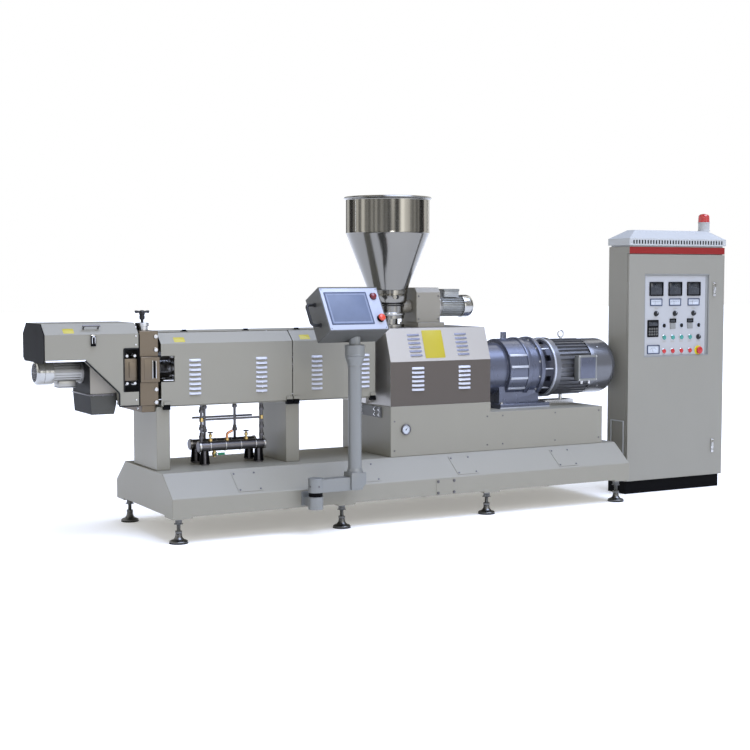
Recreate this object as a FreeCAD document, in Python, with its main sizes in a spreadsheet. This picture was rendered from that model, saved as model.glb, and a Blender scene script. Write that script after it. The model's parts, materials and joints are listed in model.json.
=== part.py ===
"""Twin-column plastic extruder: base frame, covered barrel, drive, feeder,
pelletising head, swinging operator panel and free-standing control cabinet.

Every piece is built in the machine frame: X runs from the base frame's left end
towards the drive, Y away from the operator with 0 on the screw axis, Z up from
the floor.  Each sub-part is then shifted by centre_x and centre_y, so that the
origin lies on the floor below the middle of the whole.
"""
import FreeCAD, Part
import os
import re
import Sketcher

Vector = FreeCAD.Vector
Rotation = FreeCAD.Rotation

SIZES = {
    # where the origin lies in the machine frame, set from the finished model
    "centre_x": 0, "centre_y": 0,
    "sheet": 3, "seat_gap": 0.3, "moving_gap": 6,
    # base frame, a hexagonal box beam on levelling feet
    "base_half": 543, "deck_half": 361, "base_tail": 120,
    "base_under": 174, "base_side": 120, "base_slope": 144,
    "pad_length": 135, "pad_width": 150, "pad_drop": 12, "foot_inset_y": 75, "foot_first_x": 69,
    "foot_radius": 61, "foot_plate": 13, "foot_bell": 34, "stem_radius": 13, "nut_radius": 24,
    "nut_height": 19,
    # access plates on the base frame
    "plate_thick": 3, "plate_length": 174, "plate_height": 176, "plate_low": 20,
    "plate_first_x": 461, "plate_pitch_x": 879, "plate_last_inset": 638,
    "blank_before": 191, "blank_length": 162, "blank_height": 112, "blank_rise": 2,
    # columns that carry the barrel
    "column_half": 225, "left_column_x": 17, "left_column_length": 92,
    "middle_column_length": 101, "middle_column_before": 42, "floor_inset": 10, "floor_thick": 6,
    "floor_gap": 2, "end_gap": 4,
    # barrel axis above the deck, and the sheet covers round it
    "axis_height": 662, "cover_left_x": 44, "cover_left_length": 938, "cover_right_length": 640,
    "cover_half": 246, "cover_below": 239, "cover_wall": 402, "cover_shoulder": 73, "cover_top_half": 162,
    "seam_gap": 6, "ridge_gap": 5, "notch_length": 92, "notch_half": 84,
    "slot_length": 74, "slot_height": 13, "slot_pitch": 31, "slot_rise": 63,
    "slot_margin": 197, "slot_right_margin": 192, "slot_seam_margin": 148, "slot_right_end": 124,
    "hinge_length": 42, "hinge_leaf": 18, "hinge_thick": 12, "hinge_pin": 6,
    "latch_length": 42, "latch_height": 13, "latch_width": 30, "latch_inset_x": 175,
    "latch_before_seam": 323, "latch_after_seam": 54,
    # barrel and its heater bands
    "barrel_radius": 58, "band_thick": 18, "band_length": 118, "band_pitch": 150, "band_inset": 18,
    "band_box": 34,
    "feed_block_over": 60,
    # screen changer ahead of the barrel
    "changer_gap": 14, "changer_length": 127, "changer_half": 232, "changer_below": 233, "changer_above": 247,
    "slide_height": 163, "slide_reach": 24, "slide_groove": 22, "stand_height": 46, "head_radius": 78,
    "head_length": 108,
    # spindle with a T-handle on the screen changer
    "bolt_inset": 17, "bolt_radius": 11, "bolt_rise": 9, "spindle_y": -110, "spindle_radius": 8,
    "spindle_base": 38, "spindle_flange": 46,
    "spindle_base_height": 28, "spindle_flange_height": 22, "tee_rise": 123, "tee_radius": 8,
    "tee_length": 98,
    "tee_hub_radius": 15, "tee_hub_drop": 34,
    # cutter hood
    "mount_plate": 10, "hood_length": 605, "hood_half": 245, "hood_top_half": 165, "hood_fold_above": 232,
    "hood_shoulder": 68, "hood_under_above": 68, "hood_bend": 348, "hood_slope": 129, "hood_slope_drop": 213,
    "hood_strip_drop": 87, "recess_length": 98, "recess_half": 140,
    "lid_handle_x": -408, "lid_handle_length": 96, "lid_handle_rise": 26, "lid_handle_radius": 5,
    "toggle_x": -420, "toggle_length": 30, "toggle_height": 66, "toggle_thick": 16,
    # cutter motor and chute
    "cutter_drop": 82, "cutter_length": 305, "cutter_cowl": 112, "cutter_radius": 70,
    "cutter_cowl_over": 9,
    "cutter_flange": 26, "cutter_flange_over": 6, "cutter_box_length": 118, "cutter_box_half": 52,
    "cutter_box_drop": 102, "chute_offset": 44, "chute_half": 182, "chute_drop": 350, "chute_side": 126,
    "chute_toe": 16,
    # drive box on the deck, with its step under the gearbox
    "guard_gap": 59, "drive_length": 1849, "drive_half": 361, "drive_height": 355, "drive_step_height": 280,
    "gauge_inset": 121, "gauge_rise": 190, "gauge_radius": 38, "gauge_bezel": 8, "gauge_depth": 14,
    "bracket_length": 8, "bracket_gap": 19, "bracket_height": 76, "bracket_near": -236, "bracket_far": 70,
    # coupling guard between drive box and feeder
    "guard_length": 829, "guard_wall": 310, "guard_shoulder": 230, "guard_top_half": 280,
    "guard_slot_length": 92, "guard_slot_height": 13, "guard_slot_pitch": 30, "guard_slot_rise": 101,
    "guard_slot_a": 176, "guard_slot_b": 562,
    # feed throat, hopper and feeder
    "hopper_inset": 178, "throat_radius": 74, "throat_height": 64, "throat_ring_over": 48,
    "throat_ring_height": 22,
    "throat_collar": 22, "neck_radius": 112, "neck_height": 157, "collar_over": 33, "collar_height": 24,
    "cone_over": 30, "hopper_radius": 299, "cone_height": 408, "hopper_height": 257, "hopper_wall": 3,
    "rim_over": 16, "rim_height": 16, "knob_radius": 15, "knob_length": 44, "knob_rise": 133,
    "feeder_offset": 178, "feeder_length": 200, "feeder_half": 110, "feeder_wall": 215,
    "feeder_shoulder_height": 36, "feeder_top_half": 84, "feeder_base_thick": 34, "feeder_base_over": 22,
    "coupling_radius": 46, "feeder_axis_rise": 114, "feeder_flange": 44, "feeder_flange_over": 22,
    "feeder_body": 188, "feeder_body_radius": 74, "feeder_cowl": 88, "feeder_cowl_over": 8,
    "feeder_box_length": 128, "feeder_box_half": 54, "feeder_box_height": 52,
    # gearbox and main motor
    "gearbox_gap": 50, "gearbox_neck": 222, "gearbox_neck_radius": 196,
    "gearbox_hub_radius": 98, "gearbox_hub": 40, "gearbox_band": 36, "gearbox_lug": 46,
    "gearbox_drum": 162, "gearbox_drum_radius": 226, "gearbox_ring": 150, "gearbox_ring_over": 7,
    "gearbox_foot_inset": 141, "gearbox_foot_over": 52, "gearbox_foot_half": 212, "gearbox_foot_height": 34,
    "gearbox_web_half": 150, "bell_length": 96, "bell_under": 12, "bell_window": 44, "bell_depth": 46,
    "motor_flange": 56, "motor_flange_radius": 227, "motor_body": 306, "motor_body_radius": 200,
    "fin_height": 16, "cowl_length": 262, "cowl_over": 12, "cowl_dome": 90,
    "motor_box_inset": 176, "motor_box_length": 180, "motor_box_height": 196, "motor_box_depth": 66,
    "eye_radius": 26, "eye_wire": 6, "eye_shank": 10, "motor_jack_inset": 210, "motor_jack_radius": 14,
    "jack_length": 37,
    "rail_inset": 40, "rail_length": 250, "rail_half": 62, "rail_height": 34,
    # cooling manifold on the deck
    "pipe_near_y": -100, "pipe_far_y": 62, "pipe_rise": 124, "pipe_radius": 33, "pipe_inset": 243,
    "pipe_end_gap": 102, "leg_radius": 13, "leg_inset": 46, "leg_plate": 30, "leg_plate_thick": 8,
    "riser_radius": 9, "riser_cross_drop": 119, "riser_inset": 24, "riser_far_inset": 112,
    "drain_inset": 116, "drain_radius": 11, "drain_drop": 44, "drain_stem": 12,
    "drain_ball_drop": 18, "lever_length": 70, "lever_width": 16, "lever_thick": 6,
    # pendant operator panel
    "hub_inset": 7, "hub_offset": 117, "hub_radius": 50, "hub_rise": 3, "hub_height": 83, "arm_height": 92,
    "hub_gap": 28, "hub_pin": 24, "bracket_plate_length": 96, "arm_reach": 291, "arm_half": 41,
    "elbow_rise": 18,
    "pole_radius": 45, "pole_top": 1172, "pole_cone": 66, "swivel_radius": 66, "swivel_height": 75,
    "swivel_neck": 38, "swivel_stem": 130, "panel_yaw": 5, "panel_tilt": 28.8, "panel_shift_x": -29,
    "panel_shift_y": -40,
    "panel_rise": 314, "panel_width": 460, "panel_height": 319, "panel_depth": 177,
    "screen_width": 318, "screen_height": 226, "screen_thick": 5, "screen_shift": -46, "screen_rise": 8,
    "button_radius": 14, "mushroom_radius": 20, "button_rise": 14, "mushroom_rise": 26, "button_shift": 184,
    "button_up": 92, "mushroom_down": 78, "mushroom_cap": 9,
    "grip_span": 176, "grip_reach": 44, "grip_radius": 9,
    # control cabinet
    "cabinet_gap": 200, "cabinet_width": 972, "cabinet_front": -269, "cabinet_depth": 250,
    "plinth_height": 100, "plinth_inset": 8, "cabinet_height": 1830, "fascia_height": 54, "cabinet_sheet": 8,
    "door_thick": 22, "door_gap": 4, "hinge_pad_width": 7, "hinge_pad_height": 90,
    "window_left": 155, "window_width": 660, "window_below": 210, "window_height": 650, "window_depth": 30,
    "window_recess": 12,
    "latch_body_width": 26, "latch_body_height": 110,
    "latch_below": 333, "latch_up": 239, "latch_inset": 106, "latch_rise": 9,
    "instrument_first": 124, "instrument_third": 191, "meter_up": 532, "meter_width": 138,
    "meter_height": 110,
    "display_up": 428, "display_width": 122, "display_height": 58, "knob_row_up": 339, "selector_up": 244,
    "green_row_up": 150, "red_row_up": 43, "button_first": 207, "button_pitch": 88.5,
    "meter_rise": 8, "display_rise": 6, "knob_radius_wide": 21, "knob_rise_high": 18, "selector_radius": 18,
    "lamp_radius": 20, "lamp_rise": 12, "stop_radius": 31, "stop_rise": 30,
    "keypad_x": 94, "keypad_up": 223, "keypad_width": 110, "keypad_height": 134,
    "roof_over": 6, "roof_gap": 11, "roof_eave": 52, "roof_slope": 69, "roof_inset": 122, "roof_inset_y": 84,
    "vent_width": 14, "vent_height": 30, "vent_pitch": 28, "vent_depth": 12,
    "beacon_inset": 112, "beacon_radius": 50, "beacon_base": 70, "beacon_height": 142,
}

# Places worked out from the driving sizes, each a formula in their names.
DERIVED = {
    "base_length": "drive_end_x + base_tail",
    "base_shoulder": "base_under + base_side",
    "deck_z": "base_shoulder + base_slope",
    "foot_pitch_x": "(base_length - 2 * foot_first_x) / 3",
    "plate_a_x": "plate_first_x",
    "plate_b_x": "plate_first_x + plate_pitch_x",
    "plate_c_x": "plate_d_x - plate_pitch_x",
    "plate_d_x": "base_length - plate_last_inset",
    "blank_x": "plate_c_x - blank_before",
    "blank_z": "base_under + blank_rise",
    "cover_seam_x": "cover_left_x + cover_left_length",
    "cover_right_x": "cover_seam_x + cover_right_length",
    "middle_column_x": "cover_seam_x - middle_column_before",
    "floor_half": "cover_half - floor_inset",
    "floor_under": "cover_bottom - floor_gap - floor_thick",
    "axis_z": "deck_z + axis_height",
    "cover_bottom": "axis_z - cover_below",
    "cover_fold": "cover_bottom + cover_wall",
    "cover_top": "cover_fold + cover_shoulder",
    "cover_lip": "cover_top - ridge_gap * cover_shoulder / (cover_half - cover_top_half)",
    "notch_low": "axis_z - notch_half",
    "notch_high": "axis_z + notch_half",
    "slot_low": "cover_bottom + slot_rise",
    "band_radius": "barrel_radius + band_thick",
    "band_first_x": "cover_left_x + band_inset",
    "changer_x": "cover_left_x - changer_gap - changer_length",
    "changer_end_x": "changer_x + changer_length",
    "changer_bottom": "axis_z - changer_below",
    "changer_top": "axis_z + changer_above",
    "slide_low": "axis_z - slide_height / 2",
    "tee_z": "changer_top + tee_rise",
    "hood_right": "changer_x - mount_plate",
    "hood_left": "hood_right - hood_length",
    "hood_bend_x": "hood_right - hood_bend",
    "hood_slope_x": "hood_right - hood_slope",
    "hood_fold": "axis_z + hood_fold_above",
    "hood_top": "hood_fold + hood_shoulder",
    "hood_under": "axis_z + hood_under_above",
    "hood_slope_z": "hood_under - hood_slope_drop",
    "hood_strip_z": "hood_slope_z - hood_strip_drop",
    "recess_x": "hood_right - recess_length",
    "recess_low": "axis_z - recess_half",
    "recess_high": "axis_z + recess_half",
    "cutter_z": "hood_under - cutter_drop",
    "cutter_cowl_radius": "cutter_radius + cutter_cowl_over",
    "cutter_flange_radius": "cutter_radius + cutter_flange_over",
    "chute_left": "hood_bend_x + chute_offset",
    "chute_right": "hood_slope_x - chute_toe",
    "chute_bottom": "hood_under - chute_drop",
    "chute_waist": "chute_bottom + chute_side",
    "cutter_end_x": "chute_left - cutter_length",
    "drive_x": "cover_right_x + guard_gap",
    "drive_end_x": "drive_x + drive_length",
    "drive_high": "deck_z + drive_height",
    "drive_low": "deck_z + drive_step_height",
    "drive_step_x": "guard_end_x + 5",
    "gauge_x": "drive_x + gauge_inset",
    "gauge_z": "deck_z + gauge_rise",
    "guard_end_x": "drive_x + guard_length",
    "guard_fold": "drive_high + guard_wall",
    "guard_top": "guard_fold + guard_shoulder",
    "guard_slot_low": "drive_high + guard_slot_rise",
    "bracket_top": "cover_bottom - feed_block_over - bracket_gap",
    "hopper_x": "drive_x + hopper_inset",
    "throat_ring": "throat_radius + throat_ring_over",
    "collar_radius": "neck_radius + collar_over",
    "cone_radius": "neck_radius + cone_over",
    "rim_radius": "hopper_radius + rim_over",
    "throat_top": "guard_top + throat_height",
    "neck_low": "throat_top + throat_collar",
    "neck_top": "neck_low + neck_height",
    "knob_z": "neck_low + knob_rise",
    "cone_top": "neck_top + collar_height + cone_height",
    "hopper_rim": "cone_top + hopper_height",
    "feeder_x": "hopper_x + feeder_offset",
    "feeder_low": "guard_top + feeder_base_thick",
    "feeder_shoulder": "feeder_low + feeder_wall",
    "feeder_top": "feeder_shoulder + feeder_shoulder_height",
    "feeder_motor_z": "feeder_low + feeder_axis_rise",
    "feeder_flange_radius": "feeder_body_radius + feeder_flange_over",
    "feeder_cowl_radius": "feeder_body_radius + feeder_cowl_over",
    "drive_axis_z": "drive_low + rail_height + jack_length + motor_fin_radius",
    "gearbox_x": "guard_end_x + gearbox_gap",
    "gearbox_length": "gearbox_neck + gearbox_drum + gearbox_ring",
    "gearbox_ring_radius": "gearbox_drum_radius + gearbox_ring_over",
    "bell_radius": "gearbox_drum_radius - bell_under",
    "gearbox_end_x": "gearbox_x + gearbox_length",
    "gearbox_foot_x": "gearbox_x + gearbox_foot_inset",
    "gearbox_foot_end": "gearbox_end_x + gearbox_foot_over",
    "motor_x": "gearbox_end_x + bell_length",
    "motor_fin_radius": "motor_body_radius + fin_height",
    "cowl_radius": "motor_body_radius + cowl_over",
    "motor_box_x": "motor_x + motor_box_inset",
    "motor_jack_x": "motor_x + motor_jack_inset",
    "rail_x": "motor_x + rail_inset",
    "pipe_start": "left_column_x + left_column_length + pipe_inset",
    "pipe_end": "middle_column_x - pipe_end_gap",
    "pipe_z": "deck_z + pipe_rise",
    "riser_cross_z": "cover_bottom - riser_cross_drop",
    "drain_x": "pipe_start + drain_inset",
    "drain_z": "pipe_z - pipe_radius - drain_ball_drop",
    "hub_x": "middle_column_x + hub_inset",
    "hub_y": "0 - base_half - hub_offset",
    "hub_low": "base_under + hub_rise",
    "hub_split": "hub_low + hub_height",
    "pole_foot": "hub_split + hub_gap",
    "hub_top": "pole_foot + arm_height",
    "elbow_top": "hub_top + elbow_rise",
    "pole_x": "hub_x + arm_reach",
    "neck_low_z": "pole_top - pole_cone",
    "panel_x": "pole_x + panel_shift_x",
    "panel_y": "hub_y + panel_shift_y",
    "panel_z": "pole_top + panel_rise",
    "cabinet_x": "base_length + cabinet_gap",
    "cabinet_top": "plinth_height + cabinet_height",
    "latch_high_z": "cabinet_top - latch_below",
    "latch_low_z": "plinth_height + latch_up",
    "window_low": "window_high - window_height",
    "meter_z": "window_low + meter_up",
    "display_z": "window_low + display_up",
    "knob_row_z": "window_low + knob_row_up",
    "selector_z": "window_low + selector_up",
    "keypad_z": "window_low + keypad_up",
    "green_row_z": "window_low + green_row_up",
    "red_row_z": "window_low + red_row_up",
    "window_high": "cabinet_top - window_below",
    "instrument_y": "cabinet_front + window_recess",
    "roof_top": "cabinet_top + roof_gap + roof_eave + roof_slope",
    "beacon_x": "cabinet_x + cabinet_width - beacon_inset",
    "beacon_top": "roof_top + beacon_height",
}

doc = FreeCAD.newDocument("PlasticExtruder")
sheet = doc.addObject("Spreadsheet::Sheet", "Sizes")
NODES = []


def fill_sheet():
    """Name every cell, then write the driving sizes as plain text and the rest as formulas."""
    entries = {**SIZES, **DERIVED}
    for row, alias in enumerate(entries, start=1):
        sheet.set(f"A{row}", alias)
        sheet.setAlias(f"B{row}", alias)
    for row, (alias, entry) in enumerate(entries.items(), start=1):
        sheet.set(f"B{row}", f"={entry}" if alias in DERIVED else str(entry))
    doc.recompute()


def cells(formula):
    """Turn a formula in size names into one that reads the sheet."""
    def cell(word):
        known = word[0] in SIZES or word[0] in DERIVED
        return f"Sizes.{word[0]}" if known else word[0]

    return re.sub(r"[a-z_]+[a-z]", cell, str(formula))


def bind(thing, **formulas):
    """Bind properties to formulas; a double underscore stands for a dot."""
    for path, formula in formulas.items():
        thing.setExpression(path.replace("__", "."), cells(formula))
    return thing


def place(thing, x, y, z, turn=None):
    """Bind a position, and an angle about one axis when turn is (axis, angle)."""
    if turn:
        thing.Placement.Rotation = Rotation(turn[0], 1)
        bind(thing, Placement__Rotation__Angle=turn[1])
    return bind(thing, Placement__Base__x=x, Placement__Base__y=y, Placement__Base__z=z)


AXIS_TURN = {
    "+Z": Rotation(),
    "-Z": Rotation(Vector(1, 0, 0), 180),
    "+X": Rotation(Vector(0, 1, 0), 90),
    "-X": Rotation(Vector(0, 1, 0), -90),
    "+Y": Rotation(Vector(1, 0, 0), -90),
    "-Y": Rotation(Vector(1, 0, 0), 90),
}


def box(name, x, y, z, length, width, height, turn=None):
    """Block with its low corner at x, y, z."""
    block = doc.addObject("Part::Box", name)
    bind(block, Length=length, Width=width, Height=height)
    return place(block, x, y, z, turn)


def block_between(name, x, y, z):
    """Block from its low to its high value along each axis, each a pair."""
    lengths = [f"({high}) - ({low})" for low, high in (x, y, z)]
    return box(name, x[0], y[0], z[0], *lengths)


def rod(name, x, y, z, radius, length, along="+Z"):
    """Cylinder that starts at x, y, z and runs along an axis."""
    bar = doc.addObject("Part::Cylinder", name)
    bar.Placement.Rotation = AXIS_TURN[along]
    bind(bar, Radius=radius, Height=length)
    return place(bar, x, y, z)


def nut(name, x, y, z, radius, height):
    """Hexagonal nut standing on x, y, z."""
    solid = doc.addObject("Part::Prism", name)
    solid.Polygon = 6
    bind(solid, Circumradius=radius, Height=height)
    return place(solid, x, y, z)


def outline(body, plane, points):
    """Closed sketch on one of the body's own planes; every corner is bound to the sheet."""
    drawing = body.newObject("Sketcher::SketchObject", body.Name + "Outline")
    support = [item for item in body.Origin.OriginFeatures if item.Role == plane + "_Plane"][0]
    drawing.AttachmentSupport = [(support, "")]
    drawing.MapMode = "FlatFace"
    corners = [Vector(value_of(u), value_of(v), 0) for u, v in points]
    count = len(corners)
    for index in range(count):
        drawing.addGeometry(Part.LineSegment(corners[index], corners[(index + 1) % count]))
    for index in range(count):
        drawing.addConstraint(Sketcher.Constraint("Coincident", index, 2, (index + 1) % count, 1))
    for index, (u, v) in enumerate(points):
        for kind, formula, value in (("DistanceX", u, corners[index].x), ("DistanceY", v, corners[index].y)):
            number = drawing.addConstraint(Sketcher.Constraint(kind, -1, 1, index, 1, value))
            drawing.setExpression(f"Constraints[{number}]", cells(formula))
    return drawing


def value_of(formula):
    """Present value of a formula in size names, used to draw a sketch near its solution."""
    return float(sheet.evalExpression(cells(formula)))


def prism(name, plane, points, start, length):
    """Body padded along +X (plane YZ), +Y (plane XZ) or +Z (plane XY) from start."""
    body = doc.addObject("PartDesign::Body", name)
    drawing = outline(body, plane, points)
    offset = f"-({start})" if plane == "XZ" else start
    bind(drawing, AttachmentOffset__Base__z=offset)
    pad = body.newObject("PartDesign::Pad", name + "Pad")
    pad.Profile = drawing
    pad.Reversed = plane == "XZ"
    bind(pad, Length=length)
    return body


def turned(name, points, x, y, z, along="+Z"):
    """Body of revolution; points are (radius, distance along the axis) pairs."""
    body = doc.addObject("PartDesign::Body", name)
    drawing = outline(body, "XZ", points)
    revolution = body.newObject("PartDesign::Revolution", name + "Turn")
    revolution.Profile = drawing
    revolution.ReferenceAxis = (drawing, ["V_Axis"])
    revolution.Angle = 360
    body.Placement.Rotation = AXIS_TURN[along]
    return place(body, x, y, z)


def fused(name, pieces):
    """One solid made of pieces that run into each other."""
    union = doc.addObject("Part::MultiFuse", name)
    union.Shapes = pieces
    return union


def cut(name, base, tools):
    """The base with every tool taken out of it."""
    tool = tools[0]
    if len(tools) > 1:
        tool = doc.addObject("Part::Compound", name + "Tools")
        tool.Links = tools
    result = doc.addObject("Part::Cut", name)
    result.Base = base
    result.Tool = tool
    return result


def node(label, pieces):
    """Sub-part: its pieces side by side, shifted so that the whole stands on the origin."""
    group = doc.addObject("Part::Compound", "Node_" + label)
    group.Links = pieces
    group.Label = label
    bind(group, Placement__Base__x="-centre_x", Placement__Base__y="-centre_y")
    NODES.append(group)
    return group


def mirrored(name, piece):
    """The piece's mirror image across the machine's middle plane."""
    image = doc.addObject("Part::Mirroring", name)
    image.Source = piece
    image.Normal = Vector(0, 1, 0)
    return image


def folded_sheet(name, start, length):
    """Front of a barrel cover: an upright wall with a shoulder that slopes in to the ridge."""
    slant = "sheet * 0.7"
    points = [
        ("-cover_half", "cover_bottom"),
        ("-cover_half", "cover_fold"),
        ("-cover_top_half - ridge_gap", "cover_lip"),
        (f"-cover_top_half - ridge_gap + {slant}", f"cover_lip - {slant}"),
        ("-cover_half + sheet", f"cover_fold - {slant}"),
        ("-cover_half + sheet", "cover_bottom"),
    ]
    return prism(name, "YZ", points, start, length)


def slots(name, x, near_y, low_z, length, height, pitch, count, depth):
    """Column of openings through an upright sheet."""
    return [
        box(f"{name}{index}", x, near_y, f"{low_z} + {pitch} * {index}", length, depth, height)
        for index in range(count)
    ]


# ---------------------------------------------------------------- base frame
def build_base():
    section = [
        ("-base_half", "base_under"),
        ("base_half", "base_under"),
        ("base_half", "base_shoulder"),
        ("deck_half", "deck_z"),
        ("-deck_half", "deck_z"),
        ("-base_half", "base_shoulder"),
    ]
    pieces = [prism("BaseBeam", "YZ", section, "0", "base_length")]
    for index, x in enumerate(pad_starts()):
        for side, y in (("Near", "-base_half"), ("Far", "base_half - pad_width")):
            pieces.append(
                box(f"Pad{side}{index}", x, y, "base_under - pad_drop", "pad_length", "pad_width", "pad_drop")
            )
    node("base_frame", [fused("BaseBody", pieces)])


def pad_starts():
    """Low X of the four pairs of foot pads; the end pads are flush with the beam."""
    middle = [f"foot_first_x + foot_pitch_x * {index} - pad_length / 2" for index in (1, 2)]
    return ["0", *middle, "base_length - pad_length"]


def build_feet():
    pieces = []
    under = "(base_under - pad_drop)"
    profile = [
        ("0", "0"),
        ("foot_radius", "0"),
        ("foot_radius", "foot_plate"),
        ("foot_radius * 0.62", "foot_plate + 8"),
        ("stem_radius + 8", "foot_bell"),
        ("stem_radius", "foot_bell"),
        ("stem_radius", under),
        ("0", under),
    ]
    for index, x in enumerate(pad_starts()):
        for side, y in (("Near", "-(base_half - foot_inset_y)"), ("Far", "base_half - foot_inset_y")):
            name = f"Foot{side}{index}"
            centre = f"{x} + pad_length / 2"
            stem = turned(name + "Stem", profile, centre, y, "0")
            upper = nut(name + "Lock", centre, y, f"{under} - nut_height", "nut_radius", "nut_height")
            lower = nut(name + "Nut", centre, y, "foot_bell + 10", "nut_radius", "nut_height")
            pieces.append(fused(name, [stem, upper, lower]))
    node("levelling_feet", pieces)


def build_plates():
    """Screwed plates on both slopes, and a blanking plate on the near face."""
    angle = "atan((deck_z - base_shoulder) / (base_half - deck_half))"
    pieces = []
    for letter in "abcd":
        plate = box(
            f"SlopePlate{letter.upper()}",
            f"plate_{letter}_x",
            f"-base_half + plate_low * cos({angle})",
            f"base_shoulder + plate_low * sin({angle})",
            "plate_length",
            "plate_height",
            "plate_thick",
            (Vector(1, 0, 0), angle),
        )
        pieces += [plate, mirrored(f"SlopePlateFar{letter.upper()}", plate)]
    pieces.append(
        box(
            "BlankPlate", "blank_x", "-base_half - plate_thick", "blank_z", "blank_length", "plate_thick",
            "blank_height",
        )
    )
    node("access_plates", pieces)


# ------------------------------------------------- columns, floor and covers
def build_columns():
    pieces = []
    for side in ("left", "middle"):
        pieces.append(
            block_between(
                side.title() + "Column",
                (f"{side}_column_x", f"{side}_column_x + {side}_column_length"),
                ("-column_half", "column_half"),
                ("deck_z", "floor_under"),
            )
        )
    node("barrel_columns", pieces)
    floor = block_between(
        "CoverFloor",
        ("cover_left_x + end_gap", "cover_right_x"),
        ("-floor_half", "floor_half"),
        ("floor_under", "cover_bottom - floor_gap"),
    )
    return floor


def notch_tool(name):
    """Opening at the covers' left end that bares the first heater band."""
    return block_between(
        name, ("cover_left_x - 1", "cover_left_x + notch_length"),
        ("-cover_half - 1", "-cover_half + sheet + 1"),
        ("notch_low", "notch_high"),
    )


def cover_slots(name, left_end, right_end):
    """Two columns of louvre openings, set in from the ends of a cover."""
    tools = []
    for side, x in (("Left", left_end), ("Right", right_end)):
        tools += slots(
            f"{name}{side}", x, "-cover_half - 1", "slot_low", "slot_length", "slot_height", "slot_pitch", 8,
            "sheet + 2",
        )
    return tools


def hinge_places():
    """Low X of the hinges below each cover, in pairs."""
    return {
        "left": ("left_column_x + left_column_length - hinge_length - 8", "cover_seam_x - hinge_length - 4"),
        "right": ("cover_seam_x + 4", "cover_right_x - hinge_length"),
    }


def build_covers():
    spans = {
        "left": ("cover_left_x", "cover_seam_x - seam_gap / 2 - cover_left_x"),
        "right": ("cover_seam_x + seam_gap / 2", "cover_right_x - cover_seam_x - seam_gap / 2"),
    }
    columns = {
        "left": ("cover_left_x + slot_margin", "cover_seam_x - slot_right_margin - slot_length"),
        "right": ("cover_seam_x + slot_seam_margin", "cover_right_x - slot_right_end"),
    }
    rear = []
    for side, (start, length) in spans.items():
        name = side.title()
        tools = cover_slots(name, *columns[side])
        if side == "left":
            tools.append(notch_tool("Notch"))
        panel = cut(f"{name}Cover", folded_sheet(f"{name}Sheet", start, length), tools)
        rear.append(mirrored(f"{name}RearCover", panel))
        leaves = [
            box(
                f"{name}Leaf{index}", x, "-cover_half - hinge_thick", "cover_bottom + hinge_pin + 2",
                "hinge_length", "hinge_thick", "hinge_leaf",
            )
            for index, x in enumerate(hinge_places()[side])
        ]
        node(f"front_cover_{side}", [panel, *leaves])
    ridge = block_between(
        "Ridge", ("cover_left_x", "cover_right_x"), ("-cover_top_half", "cover_top_half"),
        ("cover_top - sheet", "cover_top"),
    )
    return [*rear, ridge]


def build_hinges():
    """Fixed leaf and knuckle of each cover hinge, near and far."""
    pieces = []
    reach = "cover_half - column_half + hinge_thick"
    for side, places in hinge_places().items():
        for index, x in enumerate(places):
            name = f"Hinge{side.title()}{index}"
            leaf = box(
                name + "Leaf", x, "-cover_half - hinge_thick", "cover_bottom - hinge_pin - 2 - hinge_leaf",
                "hinge_length", reach, "hinge_leaf",
            )
            knuckle = rod(
                name + "Pin", x, "-cover_half - hinge_pin", "cover_bottom", "hinge_pin", "hinge_length", "+X"
            )
            web = box(
                name + "Web", x, "-cover_half - hinge_pin * 1.5", "cover_bottom - hinge_pin - 2",
                "hinge_length", "hinge_pin", "hinge_pin",
            )
            hinge = fused(name, [leaf, knuckle, web])
            pieces += [hinge, mirrored(name + "Far", hinge)]
    return pieces


def build_latches():
    """Small toggle latches on the ridge, just behind the covers' top edges."""
    latches = []
    for index, x in enumerate(latch_places()):
        foot = box(
            f"Latch{index}Foot", x, "-cover_top_half + 1", "cover_top", "latch_length", "latch_width", "4",
        )
        bow = box(
            f"Latch{index}Bow", f"{x} + 8", "-cover_top_half + 4", "cover_top + 4", "latch_length - 16",
            "latch_width - 12", "latch_height - 4",
        )
        latches.append(fused(f"Latch{index}", [foot, bow]))
    return latches


def latch_places():
    """Low X of the latches, two to a cover."""
    return [
        "cover_left_x + latch_inset_x",
        "cover_seam_x - latch_before_seam",
        "cover_seam_x + latch_after_seam",
        "cover_right_x - latch_inset_x",
    ]


def build_bulkheads():
    """End plates of the cover tunnel; the barrel passes through the left one."""
    inset = "(sheet + moving_gap)"
    section = [
        (f"-cover_half + {inset}", "cover_bottom - floor_gap"),
        (f"cover_half - {inset}", "cover_bottom - floor_gap"),
        (f"cover_half - {inset}", f"cover_fold - {inset}"),
        (f"cover_top_half - {inset}", "cover_top - sheet"),
        (f"-cover_top_half + {inset}", "cover_top - sheet"),
        (f"-cover_half + {inset}", f"cover_fold - {inset}"),
    ]
    right = prism("RightBulkhead", "YZ", section, "cover_right_x - sheet", "sheet")
    bore = rod(
        "RightBore", "cover_right_x - 2 * sheet", "0", "axis_z", "barrel_radius + 1", "3 * sheet", "+X",
    )
    return cut("RightEnd", right, [bore])


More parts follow.
